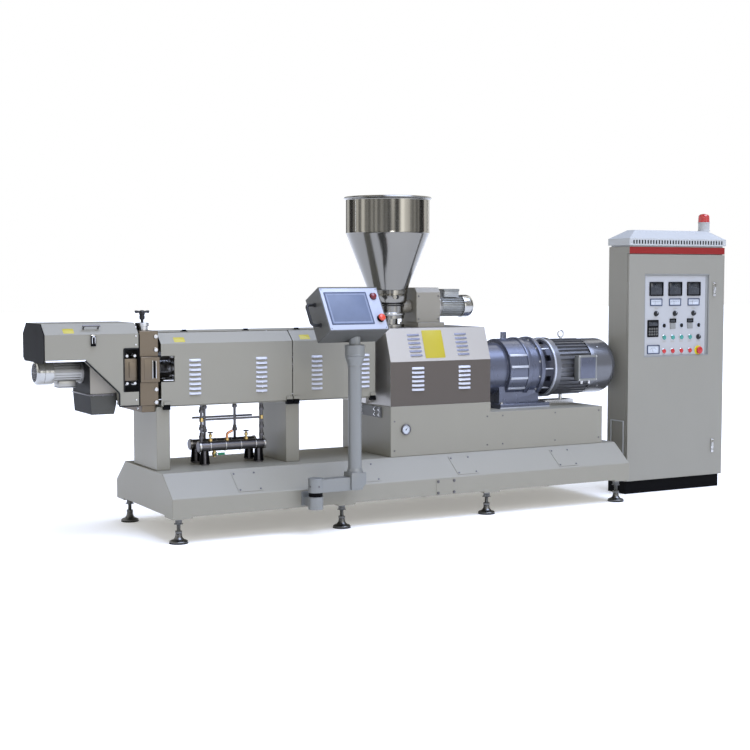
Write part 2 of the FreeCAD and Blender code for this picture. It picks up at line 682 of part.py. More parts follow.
# ------------------------------------------------------------------- barrel
def build_barrel():
    shaft = rod(
        "Barrel", "changer_end_x", "0", "axis_z", "barrel_radius", "drive_x - changer_end_x - 1", "+X"
    )
    bands = []
    for index in range(10):
        x = f"band_first_x + band_pitch * {index}"
        ring = rod(f"BandRing{index}", x, "0", "axis_z", "band_radius", "band_length", "+X")
        terminal = box(
            f"BandBox{index}", f"{x} + band_length / 2 - band_box / 2", "-band_box / 2",
            "axis_z + barrel_radius + 2",
            "band_box", "band_box", "band_radius - barrel_radius + 24",
        )
        hole = rod(
            f"BandBore{index}", f"{x} - 1", "0", "axis_z", "barrel_radius + seat_gap", "band_length + 2",
            "+X",
        )
        bands.append(cut(f"Band{index}", fused(f"BandSolid{index}", [ring, terminal]), [hole]))
    node("heater_bands", bands)
    support = block_between(
        "ThroatBlock", ("cover_right_x + moving_gap", "drive_x"), ("-band_radius - 20", "band_radius + 20"),
        ("cover_bottom - feed_block_over", "axis_z + band_radius + feed_block_over"),
    )
    bore = rod(
        "ThroatBore", "cover_right_x", "0", "axis_z", "barrel_radius + seat_gap",
        "drive_x - cover_right_x + 2", "+X",
    )
    node("barrel", [shaft, cut("FeedBlock", support, [bore])])


# ------------------------------------------------------------ screen changer
def build_changer():
    span = ("changer_x", "changer_x + changer_length")
    across = ("-changer_half", "changer_half")
    upper = block_between("ChangerUpper", span, across, ("slide_low + slide_height", "changer_top"))
    lower = block_between("ChangerLower", span, across, ("changer_bottom", "slide_low"))
    slide = block_between(
        "Slide", span, ("-changer_half - slide_reach", "changer_half + slide_reach"),
        ("slide_low", "slide_low + slide_height"),
    )
    groove = box(
        "SlideGroove", "changer_x + changer_length * 0.62", "-changer_half - slide_reach - 1",
        "slide_low + 26",
        "slide_groove", "slide_reach * 0.5 + 1", "slide_height - 52",
    )
    node("changer_slide", [cut("SlideBlock", slide, [groove])])
    bolts = []
    for index, z in enumerate(bolt_heights()):
        for side, y, along in (("Near", "-changer_half", "-Y"), ("Far", "changer_half", "+Y")):
            x = "changer_end_x - bolt_inset"
            bolts.append(rod(f"Bolt{side}{index}", x, y, z, "bolt_radius", "bolt_rise", along))
    head = turned(
        "DieHead",
        [
            ("0", "0"),
            ("head_radius", "0"),
            ("head_radius", "head_length * 0.55"),
            ("head_radius + 14", "head_length * 0.55"),
            ("head_radius + 14", "head_length * 0.72"),
            ("head_radius - 18", "head_length * 0.72"),
            ("head_radius - 18", "head_length"),
            ("0", "head_length"),
        ],
        "changer_x", "0", "axis_z", "-X",
    )
    node("die_head", [head])
    stand = block_between(
        "ChangerSeat", ("changer_x + 22", "left_column_x"), ("-column_half + 20", "column_half - 20"),
        ("changer_bottom - stand_height", "changer_bottom"),
    )
    node("changer_blocks", [upper, lower, stand])
    node("changer_fittings", [*bolts, build_spindle_base()])


def bolt_heights():
    """Heights of the changer's clamp bolts, two in each block."""
    low = ["changer_bottom + 20", "slide_low - 48"]
    high = ["slide_low + slide_height + 44", "changer_top - 36"]
    return low + high


def build_spindle_base():
    x = "changer_x + changer_length / 2"
    base = rod("SpindleBase", x, "spindle_y", "changer_top", "spindle_base", "spindle_base_height")
    flange = rod(
        "SpindleFlange", x, "spindle_y", "changer_top + spindle_base_height", "spindle_flange",
        "spindle_flange_height",
    )
    return fused("SpindleFoot", [base, flange])


def build_spindle():
    x = "changer_x + changer_length / 2"
    low = "(changer_top + spindle_base_height + spindle_flange_height + seat_gap)"
    stem = rod("SpindleStem", x, "spindle_y", low, "spindle_radius", f"tee_z - {low}")
    hub = rod("SpindleHub", x, "spindle_y", "tee_z - tee_hub_drop", "tee_hub_radius", "tee_hub_drop + 4")
    bar = rod("SpindleBar", f"{x} - tee_length / 2", "spindle_y", "tee_z", "tee_radius", "tee_length", "+X")
    node("tee_handle", [fused("TeeHandle", [stem, hub, bar])])


# --------------------------------------------------------------- cutter hood
def hood_side_points():
    """Outline of the hood's near wall, with the recess that bares the die head."""
    return [
        ("hood_left", "hood_fold"),
        ("hood_left", "hood_under"),
        ("hood_bend_x", "hood_under"),
        ("hood_slope_x", "hood_slope_z"),
        ("hood_slope_x + 6", "hood_strip_z + 8"),
        ("hood_right", "hood_strip_z"),
        ("hood_right", "recess_low"),
        ("recess_x", "recess_low"),
        ("recess_x", "recess_high"),
        ("hood_right", "recess_high"),
        ("hood_right", "hood_fold"),
    ]


def build_hood():
    near = prism("HoodNear", "XZ", hood_side_points(), "-hood_half", "sheet")
    far = mirrored("HoodFar", near)
    floor = block_between(
        "HoodFloor", ("hood_left", "hood_bend_x"), ("-hood_half + sheet", "hood_half - sheet"),
        ("hood_under", "hood_under + sheet"),
    )
    slope_points = [
        ("hood_bend_x - 1", "hood_under"),
        ("hood_bend_x", "hood_under"),
        ("hood_slope_x", "hood_slope_z"),
        ("hood_slope_x + 6", "hood_strip_z + 8"),
        ("hood_slope_x + 6 + sheet", "hood_strip_z + 8"),
        ("hood_slope_x + sheet", "hood_slope_z + 2"),
        ("hood_bend_x + 1", "hood_under + sheet"),
        ("hood_bend_x - 1", "hood_under + sheet"),
    ]
    strip = prism(
        "HoodSlope", "XZ", slope_points, "-hood_half + sheet", "hood_half - sheet - chute_half - seat_gap"
    )
    strips = [strip, mirrored("HoodSlopeFar", strip)]
    node("hood_walls", [fused("HoodWalls", [near, far, floor, *strips])])
    section = [
        ("-hood_half", "hood_under + 8"),
        ("-hood_half * 0.86", "hood_under - 14"),
        ("hood_half * 0.86", "hood_under - 14"),
        ("hood_half", "hood_under + 8"),
        ("hood_half", "hood_fold"),
        ("hood_top_half", "hood_top"),
        ("-hood_top_half", "hood_top"),
        ("-hood_half", "hood_fold"),
    ]
    end = prism("HoodEnd", "YZ", section, "hood_left - 2 * sheet", "2 * sheet")
    plate = block_between(
        "HoodMount", ("hood_right", "changer_x"), ("-hood_half", "hood_half"),
        ("hood_strip_z", "hood_fold - 4"),
    )
    bore = rod(
        "HoodMountBore", "hood_right - 1", "0", "axis_z", "head_radius + seat_gap", "mount_plate + 2", "+X"
    )
    node("hood_end_panels", [end, cut("HoodMountPlate", plate, [bore])])
    lid = folded_lid("LidSheet", "hood_left", "hood_length")
    node("hood_lid", [fused("Lid", [lid, *lid_handle()])])


def folded_lid(name, start, length):
    """Lid sheet: two shoulders and a flat top, resting on the hood's walls."""
    drop = "sheet * 0.7"
    points = [
        ("-hood_half", "hood_fold + seat_gap"),
        ("-hood_top_half", "hood_top"),
        ("hood_top_half", "hood_top"),
        ("hood_half", "hood_fold + seat_gap"),
        (f"hood_half - sheet - {drop}", "hood_fold + seat_gap"),
        (f"hood_top_half - {drop}", "hood_top - sheet"),
        (f"-hood_top_half + {drop}", "hood_top - sheet"),
        (f"-hood_half + sheet + {drop}", "hood_fold + seat_gap"),
    ]
    return prism(name, "YZ", points, start, length)


def lid_handle():
    """Wire handle standing square off the lid's near shoulder."""
    angle = "atan((hood_top - hood_fold) / (hood_half - hood_top_half))"
    rise_y = f"sin({angle}) * lid_handle_rise"
    rise_z = f"cos({angle}) * lid_handle_rise"
    middle_y = "-(hood_half + hood_top_half) / 2"
    middle_z = "(hood_top + hood_fold) / 2"
    legs = []
    ends = {"Left": "lid_handle_x - lid_handle_length / 2", "Right": "lid_handle_x + lid_handle_length / 2"}
    for side, x in ends.items():
        leg = doc.addObject("Part::Cylinder", f"Handle{side}")
        bind(leg, Radius="lid_handle_radius", Height="lid_handle_rise + 1")
        foot_y = f"{middle_y} + sin({angle})"
        foot_z = f"{middle_z} - cos({angle})"
        legs.append(place(leg, x, foot_y, foot_z, (Vector(1, 0, 0), angle)))
    bar = rod(
        "HandleBar", "lid_handle_x - lid_handle_length / 2 - 2 * lid_handle_radius", f"{middle_y} - {rise_y}",
        f"{middle_z} + {rise_z}", "lid_handle_radius + 1", "lid_handle_length + 4 * lid_handle_radius", "+X",
    )
    return [*legs, bar]


def build_toggle():
    return box(
        "Toggle", "toggle_x", "-hood_half - toggle_thick", "hood_fold - toggle_height - 8", "toggle_length",
        "toggle_thick", "toggle_height",
    )


def build_cutter():
    body_end = "cutter_length - cutter_flange"
    profile = [
        ("0", "0"),
        ("cutter_cowl_radius - 14", "0"),
        ("cutter_cowl_radius", "16"),
        ("cutter_cowl_radius", "cutter_cowl"),
        ("cutter_radius", "cutter_cowl"),
        ("cutter_radius", body_end),
        ("cutter_flange_radius", body_end),
        ("cutter_flange_radius", "cutter_length"),
        ("0", "cutter_length"),
    ]
    motor = turned("CutterBody", profile, "cutter_end_x", "0", "cutter_z", "+X")
    terminal = box(
        "CutterBox", "cutter_end_x + cutter_cowl + 30", "-cutter_box_half", "cutter_z - cutter_box_drop",
        "cutter_box_length", "2 * cutter_box_half", "cutter_box_drop",
    )
    node("cutter_motor", [fused("CutterMotor", [motor, terminal])])
    chute = prism("Chute", "XZ", chute_points(), "-chute_half", "2 * chute_half")
    node("cutter_chute", [chute])


def chute_points():
    """Side outline of the chute, a closed cutting chamber that ends inside the hood."""
    return [
        ("chute_left", "hood_under - 8"),
        ("chute_left", "chute_waist"),
        ("chute_left + 10", "chute_bottom"),
        ("chute_right", "chute_bottom"),
        ("hood_slope_x - seat_gap", "chute_bottom + 62"),
        ("hood_slope_x - seat_gap", "hood_under - 8"),
    ]


# ------------------------------------------------- drive box, guard, throat
def build_drive_box():
    section = [
        ("drive_x", "deck_z"),
        ("drive_end_x", "deck_z"),
        ("drive_end_x", "drive_low"),
        ("drive_step_x", "drive_low"),
        ("drive_step_x", "drive_high"),
        ("drive_x", "drive_high"),
    ]
    node("drive_box", [prism("DriveBox", "XZ", section, "-drive_half", "2 * drive_half")])
    gauge = turned(
        "GaugeBody",
        [
            ("0", "0"),
            ("gauge_radius", "0"),
            ("gauge_radius", "gauge_depth"),
            ("gauge_radius - gauge_bezel", "gauge_depth"),
            ("gauge_radius - gauge_bezel", "gauge_depth - 4"),
            ("0", "gauge_depth - 4"),
        ],
        "gauge_x", "-drive_half", "gauge_z", "-Y",
    )
    node("oil_gauge", [gauge])


def build_bracket():
    """Black bracket on the drive box's end, below the barrel."""
    return block_between(
        "BarrelBracket", ("drive_x - bracket_length", "drive_x"), ("bracket_near", "bracket_far"),
        ("bracket_top - bracket_height", "bracket_top"),
    )


def build_guard():
    length = "guard_end_x - drive_x"
    points = [
        ("-drive_half", "drive_high"),
        ("-drive_half", "guard_fold"),
        ("-guard_top_half", "guard_top"),
        ("guard_top_half", "guard_top"),
        ("drive_half", "guard_fold"),
        ("drive_half", "drive_high"),
        ("drive_half - sheet", "drive_high"),
        ("drive_half - sheet", "guard_fold - 1"),
        ("guard_top_half - sheet", "guard_top - sheet"),
        ("-guard_top_half + sheet", "guard_top - sheet"),
        ("-drive_half + sheet", "guard_fold - 1"),
        ("-drive_half + sheet", "drive_high"),
    ]
    shell = prism("GuardShell", "YZ", points, "drive_x", length)
    filled = points[:6]
    left_end = prism("GuardLeft", "YZ", filled, "drive_x", "sheet")
    right_end = prism("GuardRight", "YZ", filled, "guard_end_x - sheet", "sheet")
    tools = []
    for side, shift in (("A", "guard_slot_a"), ("B", "guard_slot_b")):
        tools += slots(
            f"GuardSlot{side}", f"drive_x + {shift}", "-drive_half - 1", "guard_slot_low",
            "guard_slot_length",
            "guard_slot_height", "guard_slot_pitch", 6, "sheet + 2",
        )
    tools.append(rod("GuardBore", "drive_x - 1", "0", "axis_z", "barrel_radius + 1", "sheet + 2", "+X"))
    tools.append(
        rod("GuardThroat", "hopper_x", "0", "guard_top - 2 * sheet", "throat_radius + 1", "3 * sheet"),
    )
    shaft_end = "guard_end_x - sheet - 1"
    tools.append(
        rod("GuardShaft", shaft_end, "0", "drive_axis_z", "gearbox_hub_radius + 2", "sheet + 2", "+X"),
    )
    node("coupling_guard", [cut("Guard", fused("GuardBody", [shell, left_end, right_end]), tools)])


def build_throat():
    throat = turned(
        "Throat",
        [
            ("0", "axis_z - guard_top + 96"),
            ("throat_radius", "axis_z - guard_top + 96"),
            ("throat_radius", "seat_gap"),
            ("throat_ring", "seat_gap"),
            ("throat_ring", "throat_ring_height"),
            ("throat_radius", "throat_ring_height"),
            ("throat_radius", "throat_top - guard_top"),
            ("neck_radius + 6", "throat_top - guard_top"),
            ("neck_radius + 6", "neck_low - guard_top"),
            ("0", "neck_low - guard_top"),
        ],
        "hopper_x", "0", "guard_top",
    )
    return throat


def build_hopper():
    """Neck and collar carry an open hopper, one thin shell with a rolled rim."""
    neck = turned(
        "HopperNeck",
        [
            ("0", "0"),
            ("neck_radius", "0"),
            ("neck_radius", "neck_top - neck_low"),
            ("collar_radius", "neck_top - neck_low"),
            ("collar_radius", "neck_top - neck_low + collar_height"),
            ("0", "neck_top - neck_low + collar_height"),
        ],
        "hopper_x", "0", "neck_low",
    )
    knob = rod(
        "NeckKnob", "hopper_x - 20", "-neck_radius * 0.9", "knob_z", "knob_radius", "knob_length", "-Y",
    )
    node("hopper_neck", [fused("Neck", [neck, knob]), build_throat()])
    floor = "neck_top + collar_height"
    shell = turned(
        "HopperShell",
        [
            ("0", "0"),
            ("cone_radius", "0"),
            ("hopper_radius", f"cone_top - ({floor})"),
            ("hopper_radius", f"hopper_rim - rim_height - ({floor})"),
            ("rim_radius", f"hopper_rim - rim_height * 0.7 - ({floor})"),
            ("rim_radius", f"hopper_rim - rim_height * 0.3 - ({floor})"),
            ("hopper_radius + 4", f"hopper_rim - ({floor})"),
            ("hopper_radius - hopper_wall", f"hopper_rim - ({floor})"),
            ("hopper_radius - hopper_wall", f"cone_top + 1 - ({floor})"),
            ("cone_radius - 2 * hopper_wall", "hopper_wall"),
            ("0", "hopper_wall"),
        ],
        "hopper_x", "0", floor,
    )
    node("hopper", [shell])


def build_feeder():
    section = [
        ("-feeder_half", "feeder_low"),
        ("feeder_half", "feeder_low"),
        ("feeder_half", "feeder_shoulder"),
        ("feeder_top_half", "feeder_top"),
        ("-feeder_top_half", "feeder_top"),
        ("-feeder_half", "feeder_shoulder"),
    ]
    housing = prism("FeederHousing", "YZ", section, "feeder_x", "feeder_length")
    flange = block_between(
        "FeederFlange", ("feeder_x", "feeder_x + feeder_length + feeder_base_over"),
        ("-feeder_half - feeder_base_over", "feeder_half + feeder_base_over"),
        ("guard_top", "feeder_low"),
    )
    start = "hopper_x + neck_radius - 4"
    link = rod("FeederLink", start, "0", "feeder_motor_z", "coupling_radius", f"feeder_x - ({start})", "+X")
    saddle = rod("FeederSaddle", "hopper_x", "0", "feeder_motor_z - 60", "neck_radius + seat_gap", "120")
    node("feeder_housing", [housing, flange, cut("FeederCoupling", link, [saddle])])
    end = "feeder_x + feeder_length"
    profile = [
        ("0", "0"),
        ("feeder_flange_radius", "0"),
        ("feeder_flange_radius", "feeder_flange * 0.35"),
        ("feeder_body_radius", "feeder_flange"),
        ("feeder_body_radius", "feeder_flange + feeder_body"),
        ("feeder_cowl_radius", "feeder_flange + feeder_body"),
        ("feeder_cowl_radius", "feeder_flange + feeder_body + feeder_cowl - 18"),
        ("feeder_cowl_radius - 18", "feeder_flange + feeder_body + feeder_cowl"),
        ("0", "feeder_flange + feeder_body + feeder_cowl"),
    ]
    motor = turned("FeederMotorBody", profile, end, "0", "feeder_motor_z", "+X")
    terminal = box(
        "FeederMotorBox", f"{end} + feeder_flange + 24", "-feeder_box_half",
        "feeder_motor_z + feeder_body_radius - 20",
        "feeder_box_length", "2 * feeder_box_half", "feeder_box_height + 20",
    )
    node("feeder_motor", [fused("FeederMotor", [motor, terminal])])


# ------------------------------------------------------ gearbox, main motor
def build_gearbox():
    profile = [
        ("0", "0"),
        ("gearbox_hub_radius", "0"),
        ("gearbox_hub_radius", "gearbox_hub"),
        ("gearbox_neck_radius", "gearbox_hub"),
        ("gearbox_neck_radius", "gearbox_neck"),
        ("gearbox_drum_radius", "gearbox_neck"),
        ("gearbox_drum_radius", "gearbox_neck + gearbox_drum"),
        ("gearbox_ring_radius", "gearbox_neck + gearbox_drum"),
        ("gearbox_ring_radius", "gearbox_neck + gearbox_drum + gearbox_band"),
        ("gearbox_drum_radius - 8", "gearbox_neck + gearbox_drum + gearbox_band"),
        ("gearbox_drum_radius - 8", "gearbox_length - gearbox_band"),
        ("gearbox_ring_radius", "gearbox_length - gearbox_band"),
        ("gearbox_ring_radius", "gearbox_length"),
        ("0", "gearbox_length"),
    ]
    drum = turned("GearboxDrum", profile, "gearbox_x", "0", "drive_axis_z", "+X")
    foot = block_between(
        "GearboxFoot", ("gearbox_foot_x", "gearbox_foot_end"), ("-gearbox_foot_half", "gearbox_foot_half"),
        ("drive_low", "drive_low + gearbox_foot_height"),
    )
    web = block_between(
        "GearboxWeb", ("gearbox_foot_x + 30", "gearbox_end_x - 8"),
        ("-gearbox_web_half", "gearbox_web_half"), ("drive_low + 4", "drive_axis_z - 100"),
    )
    lug = box(
        "GearboxLug", "gearbox_x + gearbox_neck + 60", "-9", "drive_axis_z + gearbox_drum_radius - 12",
        "gearbox_lug", "18", "gearbox_lug + 16",
    )
    node("gearbox", [fused("Gearbox", [drum, foot, web, lug])])
    bell = turned(
        "BellShell",
        [
            ("0", "0"),
            ("bell_radius", "0"),
            ("bell_radius - 10", "bell_length / 2"),
            ("bell_radius", "bell_length"),
            ("0", "bell_length"),
        ],
        "gearbox_end_x", "0", "drive_axis_z", "+X",
    )
    windows = []
    for index in range(8):
        window = block_between(
            f"BellWindow{index}", ("gearbox_end_x + 24", "motor_x - 24"),
            ("-bell_window / 2", "bell_window / 2"),
            ("bell_radius - bell_depth", "bell_radius + 10"),
        )
        holder = doc.addObject("Part::Compound", f"BellTurn{index}")
        holder.Links = [window]
        place(holder, "0", "0", "drive_axis_z", (Vector(1, 0, 0), f"22.5 + 45 * {index}"))
        windows.append(holder)
    node("bell_housing", [cut("Bell", bell, windows)])


def build_eyebolt():
    ring = doc.addObject("Part::Torus", "EyeRing")
    ring.Placement.Rotation = AXIS_TURN["+Y"]
    bind(ring, Radius1="eye_radius", Radius2="eye_wire")
    top = "(drive_axis_z + motor_fin_radius)"
    place(ring, "motor_jack_x", "0", f"{top} + eye_shank + eye_radius")
    shank = rod("EyeShank", "motor_jack_x", "0", f"{top} + seat_gap", "eye_shank", "eye_shank + eye_wire")
    return fused("Eyebolt", [ring, shank])


def build_motor():
    profile = [
        ("0", "0"),
        ("motor_flange_radius", "0"),
        ("motor_flange_radius", "motor_flange"),
        ("motor_body_radius", "motor_flange"),
        ("motor_body_radius", "motor_flange + motor_body"),
        ("0", "motor_flange + motor_body"),
    ]
    body = turned("MotorBody", profile, "motor_x", "0", "drive_axis_z", "+X")
    pieces = [body]
    for index in range(36):
        fin = box(
            f"Fin{index}", "motor_x + motor_flange - 1", "-3", "motor_body_radius - 6", "motor_body", "6",
            "motor_fin_radius - motor_body_radius + 6",
        )
        holder = doc.addObject("Part::Compound", f"FinTurn{index}")
        holder.Links = [fin]
        place(holder, "0", "0", "drive_axis_z", (Vector(1, 0, 0), f"10 * {index}"))
        pieces.append(holder)
    node("main_motor", [fused("MainMotor", pieces), build_eyebolt()])
    terminal = block_between(
        "MotorBox", ("motor_box_x", "motor_box_x + motor_box_length"),
        ("-motor_fin_radius - motor_box_depth", "-motor_fin_radius * 0.99"),
        ("drive_axis_z - motor_box_height / 2", "drive_axis_z + motor_box_height / 2"),
    )
    seat = rod(
        "MotorBoxSeat", "motor_x", "0", "drive_axis_z", "motor_fin_radius + seat_gap",
        "motor_flange + motor_body",
        "+X",
    )
    node("motor_terminal_box", [cut("MotorTerminalBox", terminal, [seat])])
    cowl = turned(
        "CowlBody",
        [
            ("0", "0"),
            ("cowl_radius", "0"),
            ("cowl_radius", "cowl_length - cowl_dome"),
            ("cowl_radius - cowl_dome * 0.13", "cowl_length - cowl_dome * 0.5"),
            ("cowl_radius - cowl_dome * 0.5", "cowl_length - cowl_dome * 0.13"),
            ("cowl_radius - cowl_dome", "cowl_length"),
            ("0", "cowl_length"),
        ],
        "motor_x + motor_flange + motor_body", "0", "drive_axis_z", "+X",
    )
    node("motor_cowl", [cowl])
    rail = block_between(
        "MotorRail", ("rail_x", "rail_x + rail_length"), ("-rail_half", "rail_half"),
        ("drive_low", "drive_low + rail_height"),
    )
    jack = rod(
        "MotorJack", "motor_jack_x", "0", "drive_low + rail_height - 4", "motor_jack_radius",
        "jack_length + 3",
    )
    node("motor_support", [fused("MotorSupport", [rail, jack])])


# --------------------------------------------------------- cooling manifold
def build_manifold():
    tubes = []
    for side in ("near", "far"):
        name = side.title()
        y = f"pipe_{side}_y"
        tube = rod(f"{name}Pipe", "pipe_start", y, "pipe_z", "pipe_radius", "pipe_end - pipe_start", "+X")
        pieces = [tube]
        for index, x in enumerate(("pipe_start + leg_inset", "pipe_end - leg_inset")):
            pieces.append(rod(f"{name}Leg{index}", x, y, "deck_z", "leg_radius", "pipe_z - deck_z"))
            pieces.append(rod(f"{name}Shoe{index}", x, y, "deck_z", "leg_plate", "leg_plate_thick"))
        tubes.append(fused(f"{name}Manifold", pieces))
    risers = [
        rod(f"Riser{index}", x, y, "pipe_z", "riser_radius", "floor_under - pipe_z")
        for index, (x, y) in enumerate(riser_places())
    ]
    cross = [
        rod(
            f"Cross{side}", "pipe_start + riser_inset", f"pipe_{side}_y", "riser_cross_z",
            "riser_radius * 0.8",
            "pipe_end - pipe_start - 2 * riser_inset", "+X",
        )
        for side in ("near", "far")
    ]
    trims = [
        rod(
            f"RiserTrim{side}", "pipe_start - 1", f"pipe_{side}_y", "pipe_z", "pipe_radius",
            "pipe_end - pipe_start + 2", "+X",
        )
        for side in ("near", "far")
    ]
    node("cooling_pipes", [*tubes, cut("Risers", fused("RiserSet", risers + cross), trims)])
    stub = rod(
        "DrainStub", "drain_x", "pipe_near_y", "pipe_z - pipe_radius + 4", "drain_radius", "drain_drop",
        "-Z",
    )
    ball = doc.addObject("Part::Sphere", "DrainBall")
    bind(ball, Radius="drain_radius * 1.6")
    place(ball, "drain_x", "pipe_near_y", "drain_z")
    stem = rod("DrainStem", "drain_x", "pipe_near_y", "drain_z", "5", "drain_radius * 1.6 + drain_stem", "-Y")
    trim = rod(
        "DrainTrim", "pipe_start - 1", "pipe_near_y", "pipe_z", "pipe_radius", "pipe_end - pipe_start + 2",
        "+X",
    )
    node("drain_valve", [cut("DrainValve", fused("DrainBody", [stub, ball, stem]), [trim])])
    lever = box(
        "DrainLever", "drain_x - lever_width / 2",
        "pipe_near_y - drain_radius * 1.6 - drain_stem - seat_gap - lever_thick", "drain_z - lever_width / 2",
        "lever_length", "lever_thick", "lever_width",
    )
    node("drain_lever", [lever])


def riser_places():
    """Centres of the four risers, one pair to each pipe."""
    return [
        ("pipe_start + riser_inset", "pipe_near_y"),
        ("pipe_start + riser_far_inset", "pipe_far_y"),
        ("pipe_end - riser_far_inset - 40", "pipe_far_y"),
        ("pipe_end - riser_inset", "pipe_near_y"),
    ]


# ---------------------------------------------------------- operator panel
def build_pendant():
    plate = block_between(
        "HubPlate", ("hub_x - bracket_plate_length / 2", "hub_x + bracket_plate_length / 2"),
        ("-base_half - 10", "-base_half"), ("hub_low + 12", "hub_split + 20"),
    )
    web = block_between(
        "HubWeb", ("hub_x - hub_radius * 0.7", "hub_x + hub_radius * 0.7"), ("hub_y", "-base_half - 5"),
        ("hub_low + 16", "hub_split - 12"),
    )
    drum = rod("HubDrum", "hub_x", "hub_y", "hub_low", "hub_radius", "hub_split - hub_low")
    pin = rod("HubPin", "hub_x", "hub_y", "hub_split - 1", "hub_pin", "hub_gap + 1 - seat_gap")
    node("pendant_bracket", [fused("PendantBracket", [plate, web, drum, pin])])
    upper = rod("ArmHub", "hub_x", "hub_y", "pole_foot", "hub_radius", "arm_height")
    beam = block_between(
        "ArmBeam", ("hub_x", "pole_x"), ("hub_y - arm_half", "hub_y + arm_half"), ("pole_foot", "hub_top - 6")
    )
    elbow = rod("ArmElbow", "pole_x", "hub_y", "pole_foot", "pole_radius + 9", "elbow_top - pole_foot")
    pole = turned(
        "PoleBody",
        [
            ("0", "0"),
            ("pole_radius", "0"),
            ("pole_radius", "neck_low_z - elbow_top"),
            ("swivel_radius", "pole_top - elbow_top - 4"),
            ("swivel_radius", "pole_top - elbow_top"),
            ("0", "pole_top - elbow_top"),
        ],
        "pole_x", "hub_y", "elbow_top",
    )
    node("pendant_arm", [fused("PendantArm", [upper, beam, elbow]), pole])
    build_panel()


def panel_frame(name, pieces):
    """Turn pieces drawn behind an upright front face at the origin into the panel's pose."""
    tilted = doc.addObject("Part::Compound", name + "Tilt")
    tilted.Links = pieces
    place(tilted, "0", "0", "0", (Vector(1, 0, 0), "-panel_tilt"))
    swung = doc.addObject("Part::Compound", name + "Yaw")
    swung.Links = [tilted]
    place(swung, "panel_x", "panel_y", "panel_z", (Vector(0, 0, 1), "panel_yaw"))
    return swung


def build_panel():
    half_width, half_height = "(panel_width / 2)", "(panel_height / 2)"
    section = [
        (f"-{half_width}", f"-{half_height}"),
        (f"{half_width}", f"-{half_height}"),
        (f"{half_width}", f"{half_height}"),
        (f"-{half_width}", f"{half_height}"),
    ]
    shell = prism("PanelShell", "XZ", section, "0", "panel_depth")
    node("panel_enclosure", [panel_frame("Enclosure", [shell])])
    screen = box(
        "Screen", "-screen_width / 2 + screen_shift", "-screen_thick", "-screen_height / 2 + screen_rise",
        "screen_width",
        "screen_thick", "screen_height",
    )
    button = rod("Button", "button_shift - 30", "0", "button_up", "button_radius", "button_rise", "-Y")
    stalk_length = "mushroom_rise - mushroom_cap + 1"
    stalk = rod(
        "MushroomStalk", "button_shift", "0", "-mushroom_down", "mushroom_radius / 2", stalk_length, "-Y",
    )
    cap_start = "mushroom_cap - mushroom_rise"
    cap = rod(
        "MushroomCap", "button_shift", cap_start, "-mushroom_down", "mushroom_radius", "mushroom_cap", "-Y",
    )
    node("panel_controls", [panel_frame("Controls", [screen, button, fused("Mushroom", [stalk, cap])])])
    side = f"-{half_width}"
    legs = [
        rod(f"GripLeg{index}", side, "panel_depth * 0.45", z, "grip_radius", "grip_reach", "-X")
        for index, z in enumerate(("grip_span / 2", "-grip_span / 2"))
    ]
    bar = rod(
        "GripBar", f"{side} - grip_reach", "panel_depth * 0.45", "-grip_span / 2 - 2 * grip_radius",
        "grip_radius + 1", "grip_span + 4 * grip_radius",
    )
    node("panel_grip", [panel_frame("Grip", [fused("GripSolid", legs + [bar])])])
    collar = turned(
        "SwivelCollar",
        [
            ("0", "0"),
            ("swivel_radius", "0"),
            ("swivel_radius", "swivel_height"),
            ("swivel_neck", "swivel_height"),
            ("swivel_neck", "swivel_height + swivel_stem"),
            ("0", "swivel_height + swivel_stem"),
        ],
        "pole_x", "hub_y", "pole_top + seat_gap",
    )
    trim = box(
        "PanelTrim", f"-{half_width}", "-50", f"-{half_height}", "panel_width", "panel_depth + 50",
        "panel_height",
    )
    node("panel_swivel", [cut("PanelSwivel", collar, [panel_frame("Trim", [trim])])])


# ---------------------------------------------------------- control cabinet
def build_cabinet():
    left, right = "cabinet_x", "(cabinet_x + cabinet_width)"
    front, back = "cabinet_front", "(cabinet_front + cabinet_depth)"
    node("cabinet_plinth", [block_between(
        "Plinth", (f"{left} + plinth_inset", f"{right} - plinth_inset"),
        (f"{front} + door_thick + plinth_inset", f"{back} - plinth_inset"), ("0", "plinth_height"),
    )])
    outer = block_between(
        "CabinetOuter", (left, right), (f"{front} + door_thick + door_gap", back),
        ("plinth_height", "cabinet_top"),
    )
    inner = block_between(
        "CabinetInner", (f"{left} + cabinet_sheet", f"{right} - cabinet_sheet"),
        (front, f"{back} - cabinet_sheet"),
        ("plinth_height + cabinet_sheet", "cabinet_top - fascia_height"),
    )
    fascia = block_between(
        "Fascia", (left, right), (front, f"{front} + door_thick + door_gap"),
        ("cabinet_top - fascia_height", "cabinet_top"),
    )
    pads = [
        block_between(
            f"HingePad{index}", (left, f"{left} + hinge_pad_width"),
            (f"{front} + door_thick + seat_gap", f"{front} + door_thick + door_gap + 1"),
            (z, f"{z} + hinge_pad_height"),
        )
        for index, z in enumerate(
            ("plinth_height + 220", "(plinth_height + cabinet_top) / 2", "cabinet_top - 360"),
        )
    ]
    node("cabinet_body", [fused("CabinetBody", [cut("CabinetShell", outer, [inner]), fascia, *pads])])
    build_door(left, right, front)
    build_roof(left, right, front, back)


